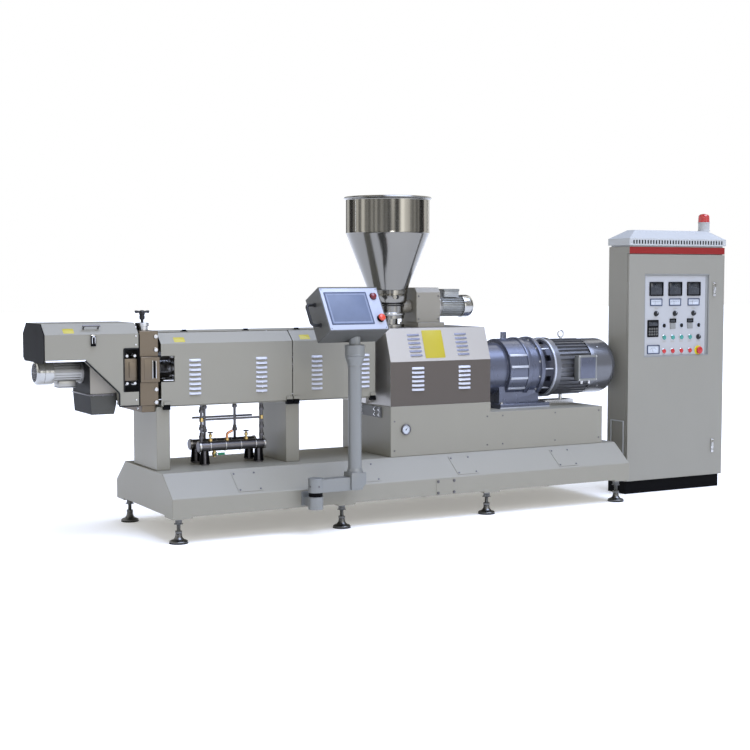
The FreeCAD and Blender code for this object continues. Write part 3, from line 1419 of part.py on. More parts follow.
def build_door(left, right, front):
    door_top = "cabinet_top - fascia_height - door_gap"
    slab = block_between(
        "DoorSlab", (f"{left}", f"{right}"), (front, f"{front} + door_thick"), ("plinth_height + 4", door_top)
    )
    window = block_between(
        "DoorWindow", (f"{left} + window_left", f"{left} + window_left + window_width"),
        (f"{front} - 1", f"{front} + door_thick + 1"), ("window_low", "window_high"),
    )
    plate = block_between(
        "InstrumentPlate", (f"{left} + window_left + 0.5", f"{left} + window_left + window_width - 0.5"),
        ("instrument_y", f"{front} + window_depth"), ("window_low + 0.5", "window_high - 0.5"),
    )
    node("cabinet_door", [cut("Door", slab, [window]), plate])
    build_instruments(left)
    latches = []
    for index, z in enumerate(("latch_low_z", "latch_high_z")):
        base = box(
            f"DoorLatch{index}Base", f"{right} - latch_inset - latch_body_width / 2", f"{front} - latch_rise",
            f"{z} - latch_body_height / 2", "latch_body_width", "latch_rise", "latch_body_height",
        )
        latches.append(base)
    node("door_latches", latches)


def build_instruments(left):
    """Meters, displays, knobs and buttons, laid out in rows on the recessed plate."""
    face = "instrument_y"
    x0 = f"({left} + window_left)"

    def meter(name, x, z, width, height, rise):
        return box(
            name, f"{x0} + {x} - {width} / 2", f"{face} - {rise}", f"{z} - {height} / 2", width, rise,
            height,
        )

    def knob(name, x, z, radius, rise):
        return rod(name, f"{x0} + {x}", face, z, radius, rise, "-Y")

    thirds = (
        "instrument_first", "instrument_first + instrument_third", "instrument_first + 2 * instrument_third",
    )
    fifths = [f"button_first + button_pitch * {index}" for index in range(5)]
    rise = "display_rise"
    pieces = []
    for i, x in enumerate(thirds):
        pieces.append(meter(f"Meter{i}", x, "meter_z", "meter_width", "meter_height", "meter_rise"))
        pieces.append(meter(f"Display{i}", x, "display_z", "display_width", "display_height", rise))
        pieces.append(knob(f"Knob{i}", x, "knob_row_z", "knob_radius_wide", "knob_rise_high"))
    for i, x in enumerate((fifths[1], fifths[3])):
        pieces.append(meter(f"SmallMeter{i}", x, "selector_z + 23", "display_width * 0.57", "26", rise))
    pieces.append(meter("Keypad", "keypad_x", "keypad_z", "keypad_width", "keypad_height", rise))
    pieces.append(
        meter("HourMeter", "keypad_x + 6", "red_row_z + 15", "display_width", "display_height", rise),
    )
    for i, x in enumerate(fifths[::2]):
        pieces.append(knob(f"Selector{i}", x, "selector_z", "selector_radius", "knob_rise_high"))
    for i, x in enumerate(fifths[:4]):
        pieces.append(knob(f"Green{i}", x, "green_row_z", "lamp_radius", "lamp_rise"))
        pieces.append(knob(f"Red{i}", x, "red_row_z", "lamp_radius", "lamp_rise"))
    pieces.append(knob("LastKnob", fifths[4], "green_row_z", "lamp_radius", "knob_rise_high"))
    pieces.append(knob("StopHead", fifths[4], "red_row_z", "stop_radius", "stop_rise"))
    node("door_controls", pieces)


def build_roof(left, right, front, back):
    low = "cabinet_top + roof_gap"
    eave = block_between(
        "Eave", (f"{left} - roof_over", f"{right} + roof_over"),
        (f"{front} - roof_over", f"{back} + roof_over"),
        (low, f"{low} + roof_eave"),
    )
    vents = []
    for index in range(33):
        x = f"({left} + {right}) / 2 + vent_pitch * {index - 16} - vent_width / 2"
        vent_low = f"{low} + (roof_eave - vent_height) / 2"
        start = f"{front} - roof_over - 1"
        vents.append(box(f"Vent{index}", x, start, vent_low, "vent_width", "vent_depth + 1", "vent_height"))
    riser = block_between(
        "RoofNeck", (f"{left} + 12", f"{right} - 12"), (f"{front} + 12", f"{back} - 12"), ("cabinet_top", low)
    )
    slope = doc.addObject("Part::Wedge", "RoofSlope")
    bind(
        slope,
        Xmin=f"{left} - roof_over", Xmax=f"{right} + roof_over",
        Ymin="0", Ymax=f"roof_top - ({low} + roof_eave)",
        Zmin=f"{front} - roof_over", Zmax=f"{back} + roof_over",
        X2min=f"{left} - roof_over + roof_inset", X2max=f"{right} + roof_over - roof_inset",
        Z2min=f"{front} - roof_over + roof_inset_y", Z2max=f"{back} + roof_over - roof_inset_y",
    )
    upright = doc.addObject("Part::Mirroring", "RoofUpright")
    upright.Source = slope
    upright.Normal = Vector(0, 1, -1)
    place(upright, "0", "0", f"{low} + roof_eave")
    node("cabinet_roof", [fused("Roof", [cut("EaveVents", eave, vents), riser, upright])])
    beacon = turned(
        "Beacon",
        [
            ("0", "0"),
            ("beacon_radius", "0"),
            ("beacon_radius", "beacon_base"),
            ("beacon_radius - 5", "beacon_base"),
            ("beacon_radius - 5", "beacon_top - roof_top - 16"),
            ("beacon_radius - 20", "beacon_top - roof_top"),
            ("0", "beacon_top - roof_top"),
        ],
        "beacon_x", "(cabinet_front + cabinet_depth / 2)", "roof_top",
    )
    node("beacon", [beacon])


def check_all():
    """Stop on any failed object, or on a sub-part that is empty or not valid."""
    for thing in doc.Objects:
        if "Invalid" in thing.State or "Error" in thing.State:
            raise RuntimeError(f"{thing.Name}: {thing.State}")
    for group in NODES:
        if group.Shape.isNull() or not group.Shape.isValid() or not group.Shape.Solids:
            raise RuntimeError(f"{group.Label} has no valid shape")


def set_centre():
    """Put the origin below the middle of the whole, as built."""
    boxes = [group.Shape.optimalBoundingBox(False, False) for group in NODES]
    middle_x = (min(b.XMin for b in boxes) + max(b.XMax for b in boxes)) / 2
    middle_y = (min(b.YMin for b in boxes) + max(b.YMax for b in boxes)) / 2
    sheet.set("centre_x", f"{middle_x:.6f}")
    sheet.set("centre_y", f"{middle_y:.6f}")
    doc.recompute()
    print(f"centre {middle_x:.3f} {middle_y:.3f}")


def write_steps():
    os.makedirs("parts", exist_ok=True)
    for group in NODES:
        group.Shape.exportStep(f"parts/{group.Label}.step")


fill_sheet()
build_base()
build_feet()
build_plates()
node("cover_tunnel", [build_columns(), *build_covers(), build_bulkheads()])
build_barrel()
build_changer()
build_spindle()
build_hood()
build_cutter()
node("cover_hardware", [*build_hinges(), *build_latches(), build_bracket(), build_toggle()])
build_drive_box()
build_guard()
build_hopper()
build_feeder()
build_gearbox()
build_motor()
build_manifold()
build_pendant()
build_cabinet()
doc.recompute()
check_all()
set_centre()
check_all()
write_steps()
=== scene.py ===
# %% [markdown]
# A plastic extruder melts pellets in a heated barrel and pushes them through a die.
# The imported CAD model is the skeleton: it is loaded first, and nothing in it moves.
# Everything after this only dresses it, and takes its origin and its bodies from that frame.

# %% Load the frame
import json
import math

import bmesh
import bpy
import numpy as np
from mathutils import Matrix, Vector

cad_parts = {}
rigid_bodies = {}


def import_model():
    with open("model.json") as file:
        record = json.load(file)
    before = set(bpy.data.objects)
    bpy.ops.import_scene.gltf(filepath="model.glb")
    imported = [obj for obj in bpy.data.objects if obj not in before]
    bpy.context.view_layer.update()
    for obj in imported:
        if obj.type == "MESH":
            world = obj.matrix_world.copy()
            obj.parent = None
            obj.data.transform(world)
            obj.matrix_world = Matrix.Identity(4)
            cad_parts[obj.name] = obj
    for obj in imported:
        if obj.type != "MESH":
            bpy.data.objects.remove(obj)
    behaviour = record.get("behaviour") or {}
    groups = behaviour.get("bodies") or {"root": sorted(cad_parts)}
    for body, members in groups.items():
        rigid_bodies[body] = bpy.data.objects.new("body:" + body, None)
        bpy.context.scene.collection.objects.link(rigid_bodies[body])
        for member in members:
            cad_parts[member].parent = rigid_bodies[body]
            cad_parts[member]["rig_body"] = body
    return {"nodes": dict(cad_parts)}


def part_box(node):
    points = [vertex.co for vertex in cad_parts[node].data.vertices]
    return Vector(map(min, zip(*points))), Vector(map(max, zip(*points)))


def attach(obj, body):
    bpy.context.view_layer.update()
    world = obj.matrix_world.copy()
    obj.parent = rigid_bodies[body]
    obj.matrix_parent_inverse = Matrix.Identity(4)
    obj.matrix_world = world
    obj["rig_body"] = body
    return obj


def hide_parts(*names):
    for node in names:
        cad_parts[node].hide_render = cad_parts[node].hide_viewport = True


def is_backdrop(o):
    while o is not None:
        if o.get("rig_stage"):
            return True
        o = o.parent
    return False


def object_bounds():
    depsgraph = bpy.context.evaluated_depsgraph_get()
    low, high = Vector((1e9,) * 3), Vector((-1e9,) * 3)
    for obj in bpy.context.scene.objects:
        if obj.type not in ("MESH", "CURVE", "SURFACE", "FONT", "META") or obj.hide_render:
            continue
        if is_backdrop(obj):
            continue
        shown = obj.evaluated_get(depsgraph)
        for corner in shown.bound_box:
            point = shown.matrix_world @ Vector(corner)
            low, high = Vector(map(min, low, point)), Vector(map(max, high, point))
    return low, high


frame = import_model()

cad_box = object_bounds()
bodies = {name: node["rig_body"] for name, node in frame["nodes"].items()}

# %% [markdown]
# Builders measure this machine from three things: the left end of its base frame, the screw
# axis and the floor. All shapes below are given in millimetres from those three, as on a
# workshop drawing, and turned into the frame's metres when they become a mesh. `extent` gives
# the box of any node in the same millimetres. The near faces and the heights of the axes that
# many pieces share are named once.


# %% Places
base_low, base_high = (np.array(corner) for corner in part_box("base_frame"))
datum = np.array([base_low[0], (base_low[1] + base_high[1]) / 2, 0.0])


def extent(name):
    """Lowest and highest corner of a CAD node, in machine millimetres."""
    low, high = (np.array(corner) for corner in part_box(name))
    return (low - datum) * 1000, (high - datum) * 1000


def at(x, y, z):
    """Frame point, in metres, of a place in machine millimetres."""
    return datum + np.array([x, y, z]) / 1000


BASE_Y, COVER_Y, BOX_Y = -543, -246, -361  # near faces of the base, the covers and the drive box
SCREW_Z, CUTTER_Z, FEEDER_Z, DRIVE_Z = 1100, 1086, 1481, 1005  # heights of the four axes along X
HUB_Y = -660  # axis of the pendant's hub and pole
print("base frame", [np.round(corner).tolist() for corner in extent("base_frame")])

# %% [markdown]
# A mesh is points and the faces that join them. This small class keeps both as whole arrays,
# so that shapes can be added together, shifted and turned without touching single points.


# %% Shape arrays
class Shape:
    """Points, and faces as one list of corners with the number of corners of each face."""

    def __init__(self, points, corners, sizes):
        """Keep the three lists as arrays."""
        self.points = np.asarray(points, float)
        self.corners = np.asarray(corners, int)
        self.sizes = np.asarray(sizes, int)

    def __add__(self, other):
        """Both shapes as one, the other's corners counted on from this one's points."""
        corners = np.concatenate([self.corners, other.corners + len(self.points)])
        sizes = np.concatenate([self.sizes, other.sizes])
        return Shape(np.vstack([self.points, other.points]), corners, sizes)

    def moved(self, step):
        """The same shape shifted by step."""
        return Shape(self.points + np.asarray(step), self.corners, self.sizes)

    def turned(self, axis, degrees, about=(0, 0, 0)):
        """The same shape turned about an axis through a point, right hand rule."""
        turn = np.array(Matrix.Rotation(math.radians(degrees), 3, axis))
        return Shape((self.points - about) @ turn.T + about, self.corners, self.sizes)

    def scaled(self, factors):
        """The same shape stretched along X, Y and Z."""
        return Shape(self.points * factors, self.corners, self.sizes)

    def laid(self, along):
        """The same shape with its own Z laid along a direction, as facing gives it."""
        return Shape(self.points @ facing(along), self.corners, self.sizes)

    def mirrored(self):
        """This shape and its twin on the far side of the screw axis."""
        return self + self.scaled([1, -1, 1])


def together(shapes):
    """Many shapes as one, in the order given."""
    total = shapes[0]
    for shape in shapes[1:]:
        total = total + shape
    return total


# %% [markdown]
# Most parts of a machine are a ring of points carried along something. `skin` joins such rings
# with four-cornered faces and closes both ends. `softened` rounds the corners of any line: each
# corner gives way to a short curve, which is what lets an edge catch the light.


# %% Rings and rounded lines
def skin(grid, hollow=False):
    """Closed skin over rows of rings: grid[row, place on the ring] is a point.
    The first and last rows are capped, or joined to each other where the shape is hollow."""
    rows, columns = grid.shape[:2]
    index = np.arange(rows * columns).reshape(rows, columns)
    if hollow:
        index = np.vstack([index, index[:1]])
    beside = np.roll(index, -1, axis=1)
    quads = np.stack([index[:-1], beside[:-1], beside[1:], index[1:]], axis=-1).reshape(-1, 4)
    if hollow:
        return Shape(grid.reshape(-1, 3), quads.ravel(), np.full(len(quads), 4))
    corners = np.concatenate([quads.ravel(), index[0, ::-1], index[-1]])
    sizes = np.concatenate([np.full(len(quads), 4), [columns, columns]])
    return Shape(grid.reshape(-1, 3), corners, sizes)


def softened(line, radius, steps=3, closed=False):
    """Line with each corner P replaced by the curve (1-t)^2 A + 2t(1-t) P + t^2 B.
    A and B lie on the two legs, a radius away from P or nearly half a leg if that is less."""
    line = np.asarray(line, float)
    before, after = np.roll(line, 1, axis=0) - line, np.roll(line, -1, axis=0) - line
    reach_a = np.maximum(np.linalg.norm(before, axis=1, keepdims=True), 1e-9)
    reach_b = np.maximum(np.linalg.norm(after, axis=1, keepdims=True), 1e-9)
    a = line + before / reach_a * np.minimum(radius, reach_a * 0.48)
    b = line + after / reach_b * np.minimum(radius, reach_b * 0.48)
    t = np.linspace(0, 1, steps)[None, :, None]
    curve = (1 - t) ** 2 * a[:, None] + 2 * t * (1 - t) * line[:, None] + t**2 * b[:, None]
    if closed:
        return curve.reshape(-1, line.shape[1])
    middle = curve[1:-1].reshape(-1, line.shape[1])
    return np.vstack([line[:1], middle, line[-1:]])


# %% [markdown]
# Turned parts come off a lathe: a profile of radius and distance is carried round an axis.
# Pressed and welded parts are outlines pushed along an axis. Pipes are circles carried along a
# path. The three cover nearly everything here.


# %% Lathe, press and pipe
FACING = {
    "+X": np.array([[0, 1, 0], [0, 0, 1], [1, 0, 0]]),
    "-X": np.array([[0, 0, 1], [0, 1, 0], [-1, 0, 0]]),
    "+Y": np.array([[0, 0, 1], [1, 0, 0], [0, 1, 0]]),
    "-Y": np.array([[1, 0, 0], [0, 0, 1], [0, -1, 0]]),
    "+Z": np.eye(3),
    "-Z": np.array([[0, 1, 0], [1, 0, 0], [0, 0, -1]]),
}


def facing(along):
    """Rows that say where a shape's own three axes point; any direction may be named or given."""
    if isinstance(along, str):
        return FACING[along]
    if np.ndim(along) == 2:
        return np.asarray(along, float)
    turn = Vector((0, 0, 1)).rotation_difference(Vector(along)).to_matrix()
    return np.array(turn).T


def lathe(profile, centre, along="+Z", around=48, radius=0.8, hollow=False):
    """Profile of (radius r, distance s) turned: the point at angle a is (r cos a, r sin a, s)."""
    profile = softened(profile, radius, closed=hollow)
    angle = np.linspace(0, 2 * np.pi, around, endpoint=False)
    ring = np.stack([np.cos(angle), np.sin(angle), 0 * angle], axis=-1)
    grid = profile[:, None, :1] * ring + profile[:, None, 1:] * np.array([0, 0, 1])
    return skin(grid @ facing(along) + np.asarray(centre), hollow)


def inset(outline, distance):
    """Outline, anticlockwise, with every corner moved inwards so that each side shifts by distance."""
    side = np.roll(outline, -1, axis=0) - outline
    side = side / np.maximum(np.linalg.norm(side, axis=1, keepdims=True), 1e-9)
    normal = np.stack([-side[:, 1], side[:, 0]], axis=-1)
    last = np.roll(normal, 1, axis=0)
    share = 1 + np.sum(normal * last, axis=1, keepdims=True)
    return outline + distance * (normal + last) / np.maximum(share, 0.2)


def pressed(outline, depth, centre, along="+Z", corner=2.0, edge=1.2):
    """Outline carried along an axis by depth, with rounded corners and rounded rims."""
    outline = softened(outline, corner, closed=True)
    bend = np.radians([10, 45, 90])
    shrink = edge * (1 - np.sin(bend))
    height = edge * (1 - np.cos(bend))
    shrink = np.concatenate([shrink, shrink[::-1]])
    height = np.concatenate([height, depth - height[::-1]])
    rows = [np.column_stack([inset(outline, s), np.full(len(outline), h)]) for s, h in zip(shrink, height)]
    return skin(np.array(rows) @ facing(along) + np.asarray(centre))


def oblong(width, height):
    """Rectangle about the origin, anticlockwise."""
    return np.array([[-1, -1], [1, -1], [1, 1], [-1, 1]]) * np.array([width, height]) / 2


def polygon(radius, sides, first=0.0):
    """Regular polygon about the origin, anticlockwise."""
    angle = np.radians(first) + np.arange(sides) * 2 * np.pi / sides
    return radius * np.stack([np.cos(angle), np.sin(angle)], axis=-1)


def block(low, high, corner=2.0, edge=1.2):
    """Box between two corners with softened edges."""
    low, high = np.asarray(low, float), np.asarray(high, float)
    size, middle = high - low, (low + high) / 2
    return pressed(oblong(size[0], size[1]), size[2], [middle[0], middle[1], low[2]], "+Z", corner, edge)


def pipe(path, radius, bend=30.0, sides=14, up=(0, 0, 1)):
    """Circle carried along a path whose corners are rounded; up is any direction off the path."""
    line = softened(path, bend, steps=7)
    heading = np.gradient(line, axis=0)
    heading = heading / np.linalg.norm(heading, axis=1, keepdims=True)
    side = np.cross(heading, up)
    side = side / np.linalg.norm(side, axis=1, keepdims=True)
    over = np.cross(side, heading)
    angle = np.linspace(0, 2 * np.pi, sides, endpoint=False)[None, :, None]
    grid = line[:, None] + radius * (np.cos(angle) * side[:, None] + np.sin(angle) * over[:, None])
    return skin(grid)


# %% [markdown]
# A shape becomes a Blender object here. Doubled points are merged, faces are turned outwards
# and only edges sharper than a set angle stay crisp. The object then rides on its body, and
# where it stands for a CAD node that node is hidden.


# %% From arrays to objects
def dressed(thing, finish, body, stands_for=()):
    """Give an object its material and its body, and hide the nodes that it stands for."""
    thing.data.materials.clear()
    thing.data.materials.append(finish)
    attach(thing, body)
    if stands_for:
        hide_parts(*stands_for)
    return thing


def piece(name, shape, finish, body="machine", stands_for=(), crisp=32):
    """Mesh object made of a shape, closed and facing outwards."""
    mesh = bpy.data.meshes.new(name)
    faces = np.split(shape.corners, np.cumsum(shape.sizes)[:-1])
    mesh.from_pydata(shape.points / 1000 + datum, [], [face.tolist() for face in faces])
    work = bmesh.new()
    work.from_mesh(mesh)
    bmesh.ops.remove_doubles(work, verts=work.verts, dist=1e-6)
    bmesh.ops.recalc_face_normals(work, faces=work.faces)
    work.to_mesh(mesh)
    work.free()
    mesh.shade_smooth()
    mesh.set_sharp_from_angle(angle=math.radians(crisp))
    thing = bpy.data.objects.new(name, mesh)
    bpy.context.scene.collection.objects.link(thing)
    return dressed(thing, finish, body, stands_for)


def eased(name, finish, width=1.5, crisp=30):
    """Copy of a CAD node with its edges broken by a small round, as a fitter's file leaves them."""
    mesh = frame["nodes"][name].data.copy()
    work = bmesh.new()
    work.from_mesh(mesh)
    bmesh.ops.remove_doubles(work, verts=work.verts, dist=1e-5)
    bmesh.ops.dissolve_limit(work, angle_limit=math.radians(0.4), verts=work.verts, edges=work.edges)
    work.to_mesh(mesh)
    work.free()
    mesh.shade_smooth()
    mesh.set_sharp_from_angle(angle=math.radians(crisp))
    thing = bpy.data.objects.new(name + "_eased", mesh)
    bpy.context.scene.collection.objects.link(thing)
    round_off = thing.modifiers.new("round_off", "BEVEL")
    round_off.width = width / 1000
    round_off.segments = 2
    round_off.limit_method = "ANGLE"
    round_off.angle_limit = math.radians(crisp)
    round_off.use_clamp_overlap = True
    return dressed(thing, finish, bodies[name], [name])


# %% [markdown]
# Shader maths reads like algebra once a socket is wrapped: `rough + tone * 0.12` adds two Math
# nodes. Every other node comes from one method that takes its type, its inputs and its
# settings.


# %% Shader algebra
class Signal:
    """A socket that takes part in sums; each operator adds one Math node."""

    def __init__(self, finish, socket):
        """Keep the socket and the material that it belongs to."""
        self.finish = finish
        self.socket = socket

    def math(self, operation, first, second=0.0):
        """Result of one Math node."""
        return self.finish.node("ShaderNodeMath", {0: first, 1: second}, operation=operation)

    def __add__(self, other):
        """self + other."""
        return self.math("ADD", self, other)

    def __radd__(self, other):
        """other + self, for a plain number before the sign."""
        return self.math("ADD", other, self)

    def __sub__(self, other):
        """self - other."""
        return self.math("SUBTRACT", self, other)

    def __mul__(self, other):
        """self * other."""
        return self.math("MULTIPLY", self, other)


class Finish:
    """A material being mixed. Constants go straight onto the shader's own sockets."""

    def __init__(self, name, **constants):
        """Start a material; an underscore stands for the space in a socket's name."""
        self.material = bpy.data.materials.new(name)
        self.material.use_nodes = True
        self.tree = self.material.node_tree
        self.shader = self.tree.nodes["Principled BSDF"]
        for socket, value in constants.items():
            self.feed(self.shader.inputs[socket.replace("_", " ")], value)

    def feed(self, socket, value):
        """Link a signal to an input, or set the input to a constant."""
        if isinstance(value, Signal):
            self.tree.links.new(value.socket, socket)
        else:
            socket.default_value = value

    def node(self, kind, inputs=None, out=0, **settings):
        """Add a node: settings first, then the values or links of its inputs."""
        made = self.tree.nodes.new(kind)
        for name, value in settings.items():
            setattr(made, name, value)
        for name, value in (inputs or {}).items():
            self.feed(made.inputs[name], value)
        return Signal(self, made.outputs[out])

    def grain(self, scale, stretch=(1, 1, 1), detail=3.0):
        """Noise on object coordinates, about 0.5; stretch makes it finer along an axis."""
        place = self.node("ShaderNodeTexCoord", out="Object")
        place = self.node("ShaderNodeMapping", {"Vector": place, "Scale": stretch})
        return self.node("ShaderNodeTexNoise", {"Vector": place, "Scale": scale, "Detail": detail}, out="Fac")

    def mixed(self, share, first, second):
        """Colour between two, by share."""
        colours = {"Factor": share, 6: (*first, 1.0), 7: (*second, 1.0)}
        return self.node("ShaderNodeMix", colours, out=2, data_type="RGBA")

    def done(self, colour=None, rough=None, height=None, bump=0.1, reach=0.001):
        """Link what changes over the surface, and hand over the material."""
        if colour is not None:
            self.feed(self.shader.inputs["Base Color"], colour)
        if rough is not None:
            self.feed(self.shader.inputs["Roughness"], rough)
        if height is not None:
            raised = self.node("ShaderNodeBump", {"Height": height, "Strength": bump, "Distance": reach})
            self.feed(self.shader.inputs["Normal"], raised)
        return self.material


# %% [markdown]
# The frames and covers wear a warm grey machine enamel: satin, with the faint orange peel that
# a spray gun leaves and a tone that drifts a little over each panel. One recipe makes every
# painted finish, from the pale cabinet roof to the dark chute.


# %% Painted finishes
def shade(colour, factor):
    """Colour made lighter or darker by a factor."""
    return tuple(min(channel * factor, 1.0) for channel in colour)


def painted(name, colour, rough=0.42, peel=260, depth=0.12, drift=0.05, metal=0.0, coat=0.0, shine=0.5):
    """Enamel: tone and gloss drift with broad noise, and fine noise raises the peel."""
    finish = Finish(name, Metallic=metal, Coat_Weight=coat, Coat_Roughness=0.25)
    finish.shader.inputs["Specular IOR Level"].default_value = shine
    broad = finish.grain(1.7, detail=4.0)
    fine = finish.grain(peel, detail=2.0)
    smears = finish.grain(9.0, stretch=(1, 1, 0.35), detail=5.0)
    tone = broad * 0.6 + smears * 0.4
    colour = finish.mixed(tone, shade(colour, 1 - drift), shade(colour, 1 + drift))
    return finish.done(colour, rough - 0.06 + tone * 0.12, fine, depth, 0.0004)


enamel = painted("machine_enamel", (0.208, 0.197, 0.160))
cabinet_powder = painted("cabinet_powder", (0.211, 0.203, 0.173), rough=0.5, peel=420, depth=0.2)
roof_powder_and_highlight = painted("roof_powder_and_highlight", (0.36, 0.37, 0.37), rough=0.5, peel=420, depth=0.2)
satin_black_and_shade = painted("satin_black_and_shade", (0.003, 0.003, 0.0035), rough=0.5, drift=0.2, shine=0.04)
chute_grey = painted("chute_grey", (0.009, 0.009, 0.0085), rough=0.5, shine=0.08)
box_grey = painted("pendant_box_grey", (0.075, 0.075, 0.070), rough=0.4)
GLOSSY = {"depth": 0.3, "coat": 0.5}
gear_enamel = painted("gear_enamel", (0.085, 0.095, 0.135), rough=0.28, peel=120, metal=0.5, **GLOSSY)
motor_enamel = painted("motor_enamel", (0.10, 0.104, 0.116), rough=0.3, peel=90, metal=0.3, **GLOSSY)
silver_enamel = painted("silver_enamel", (0.185, 0.19, 0.185), rough=0.34, metal=0.35)
fascia_red = painted("fascia_red", (0.20, 0.010, 0.009), rough=0.36, shine=0.25)
label_yellow = painted("label_yellow", (0.36, 0.30, 0.012), rough=0.45, depth=0.05)
painted_guard_reflection = painted("guard_painted_reflection", (0.076, 0.064, 0.054), rough=0.34, metal=0.4)
feeder_enamel = painted("feeder_enamel", (0.21, 0.195, 0.160), rough=0.4)
chute_front = painted("chute_front", (0.045, 0.045, 0.040), rough=0.4, metal=0.3)
chute_beige = painted("chute_beige", (0.24, 0.22, 0.185), rough=0.42)
boss_silver = painted("boss_silver", (0.42, 0.44, 0.49), rough=0.34, metal=0.4, coat=0.3)
# The bell housing is painted dark all over: painted shade for its windows and the hollow behind them.
bell_painted_shade = painted("bell_painted_shade", (0.022, 0.024, 0.036), rough=0.34, metal=0.4, coat=0.1, shine=0.3)
louvre_painted_highlight = painted("louvre_painted_highlight", (0.46, 0.47, 0.52), rough=0.36)
louvre_shadow = painted("louvre_shadow", (0.16, 0.17, 0.23), rough=0.4)
motor_grey = painted("feeder_motor_grey", (0.27, 0.28, 0.28), rough=0.36, metal=0.4)
cowl_enamel = painted("cowl_enamel", (0.118, 0.122, 0.135), rough=0.26, metal=0.6, coat=0.5)
plate_pale = painted("instrument_plate", (0.345, 0.35, 0.36), rough=0.4)
gasket_grey_and_shade = painted("gasket_grey_and_shade", (0.20, 0.205, 0.20), rough=0.6)
box_dark = painted("pendant_gasket", (0.07, 0.07, 0.065), rough=0.5)
frame_blue = painted("meter_frame_blue", (0.03, 0.045, 0.09), rough=0.35)
face_plate = painted("panel_face", (0.36, 0.39, 0.48), rough=0.35)

# %% [markdown]
# Bare metal shows how it was worked. Ground and brushed sheet carries long fine scratches, so
# its noise is stretched hard along one axis; it changes the gloss more than the colour.


# %% Metal finishes
def worked(name, colour, rough=0.3, scratch=(2, 2, 160), depth=0.08, spread=0.12, stain=0.08):
    """Bare metal: stretched noise scratches it, and broad noise stains it a little."""
    finish = Finish(name, Metallic=1.0)
    lines = finish.grain(6.0, stretch=scratch, detail=4.0)
    broad = finish.grain(3.0, detail=3.0)
    colour = finish.mixed(broad * 0.7 + lines * 0.3, shade(colour, 1 - stain), shade(colour, 1 + stain))
    return finish.done(colour, rough - spread / 2 + lines * spread, lines, depth, 0.0003)


brushed = worked("brushed_guard", (0.41, 0.395, 0.375), rough=0.46, scratch=(120, 2, 2), depth=0.05)
louvre_steel = worked("louvre_steel", (0.80, 0.80, 0.83), rough=0.3, scratch=(60, 2, 2))
polished = worked("polished_hopper", (0.208, 0.201, 0.183), 0.15, scratch=(2, 2, 90), depth=0.02, spread=0.06)
machined = worked("machined_steel", (0.46, 0.45, 0.43), rough=0.32, scratch=(90, 90, 8))
zinc_and_highlight = worked("zinc_plate_and_highlight", (0.52, 0.52, 0.52), rough=0.24, scratch=(20, 20, 20))
tan_block = worked("oiled_die_steel", (0.148, 0.121, 0.090), rough=0.46, scratch=(10, 10, 60), stain=0.14)
cast_silver = worked("cast_aluminium", (0.37, 0.365, 0.35), rough=0.4, scratch=(25, 25, 25), depth=0.35)
dark_steel = worked("dark_pipe_steel", (0.13, 0.125, 0.13), rough=0.36, scratch=(40, 40, 40), stain=0.2)
chrome = worked("bright_cowl", (0.40, 0.40, 0.39), rough=0.18, scratch=(12, 12, 12), depth=0.02, spread=0.08)
foot_steel = worked("foot_steel", (0.13, 0.13, 0.127), rough=0.3, scratch=(30, 30, 30), stain=0.2)
copper = worked("copper_elbow", (0.60, 0.27, 0.13), rough=0.34, scratch=(30, 30, 30), stain=0.2)
brass = worked("brass_valve", (0.55, 0.40, 0.16), rough=0.32, scratch=(30, 30, 30), stain=0.15)

# %% [markdown]
# Mouldings are not metal: knobs and grips are black, slightly grained plastic, and the lenses of
# buttons and of the beacon are glossy coloured plastic.


# %% Moulded finishes
def moulded(name, colour, rough=0.45, depth=0.15, coat=0.0, glow=0.0):
    """Plastic: a fine leathery grain and a little change of gloss; lenses may glow a little, which on the
    stop mushrooms is a painted glow, for they hold no lamp.
    """
    finish = Finish(name, Coat_Weight=coat, Coat_Roughness=0.08)
    finish.shader.inputs["Specular IOR Level"].default_value = 0.3
    finish.shader.inputs["Emission Strength"].default_value = glow
    finish.shader.inputs["Emission Color"].default_value = (*colour, 1.0)
    fine = finish.grain(700, detail=2.0)
    broad = finish.grain(14.0, detail=3.0)
    tint = finish.mixed(broad, shade(colour, 0.88), shade(colour, 1.12))
    return finish.done(tint, rough + (broad - 0.5) * 0.12, fine, depth, 0.0002)


black_plastic = moulded("black_plastic", (0.014, 0.014, 0.015), rough=0.4)
rubber = moulded("foot_rubber", (0.012, 0.012, 0.012), rough=0.8, depth=0.3)
# The red caps glow a little; on the stop mushroom, which holds no lamp, this is a painted glow.
red_cap = moulded("red_button", (0.36, 0.008, 0.010), rough=0.28, depth=0.02, coat=0.6, glow=0.05)
maroon_cap = moulded("maroon_button", (0.13, 0.006, 0.012), rough=0.25, depth=0.02, coat=0.6)
# Painted glow: the orange stop mushroom glows a little, though it holds no lamp.
orange_cap = moulded("orange_mushroom", (0.50, 0.045, 0.02), rough=0.3, depth=0.02, coat=0.5, glow=0.05)
green_cap = moulded("green_button", (0.03, 0.20, 0.17), rough=0.28, depth=0.02, coat=0.6, glow=0.08)
green_grip = moulded("green_lever", (0.02, 0.20, 0.10), rough=0.4)
yellow_ring = moulded("yellow_ring", (0.62, 0.52, 0.02), rough=0.35, coat=0.3)
beacon_lens = moulded("beacon_lens", (0.34, 0.012, 0.010), rough=0.16, depth=0.02, coat=1.0, glow=0.12)
meter_glass = moulded("meter_glass", (0.010, 0.013, 0.018), rough=0.12, depth=0.02, coat=0.35)
dial_white = moulded("dial_white", (0.44, 0.47, 0.52), rough=0.3, depth=0.03, coat=0.4)
unlit_digits = moulded("unlit_digits", (0.075, 0.08, 0.085), rough=0.4)
screen_edge = moulded("screen_edge", (0.17, 0.20, 0.28), rough=0.3, depth=0.01)
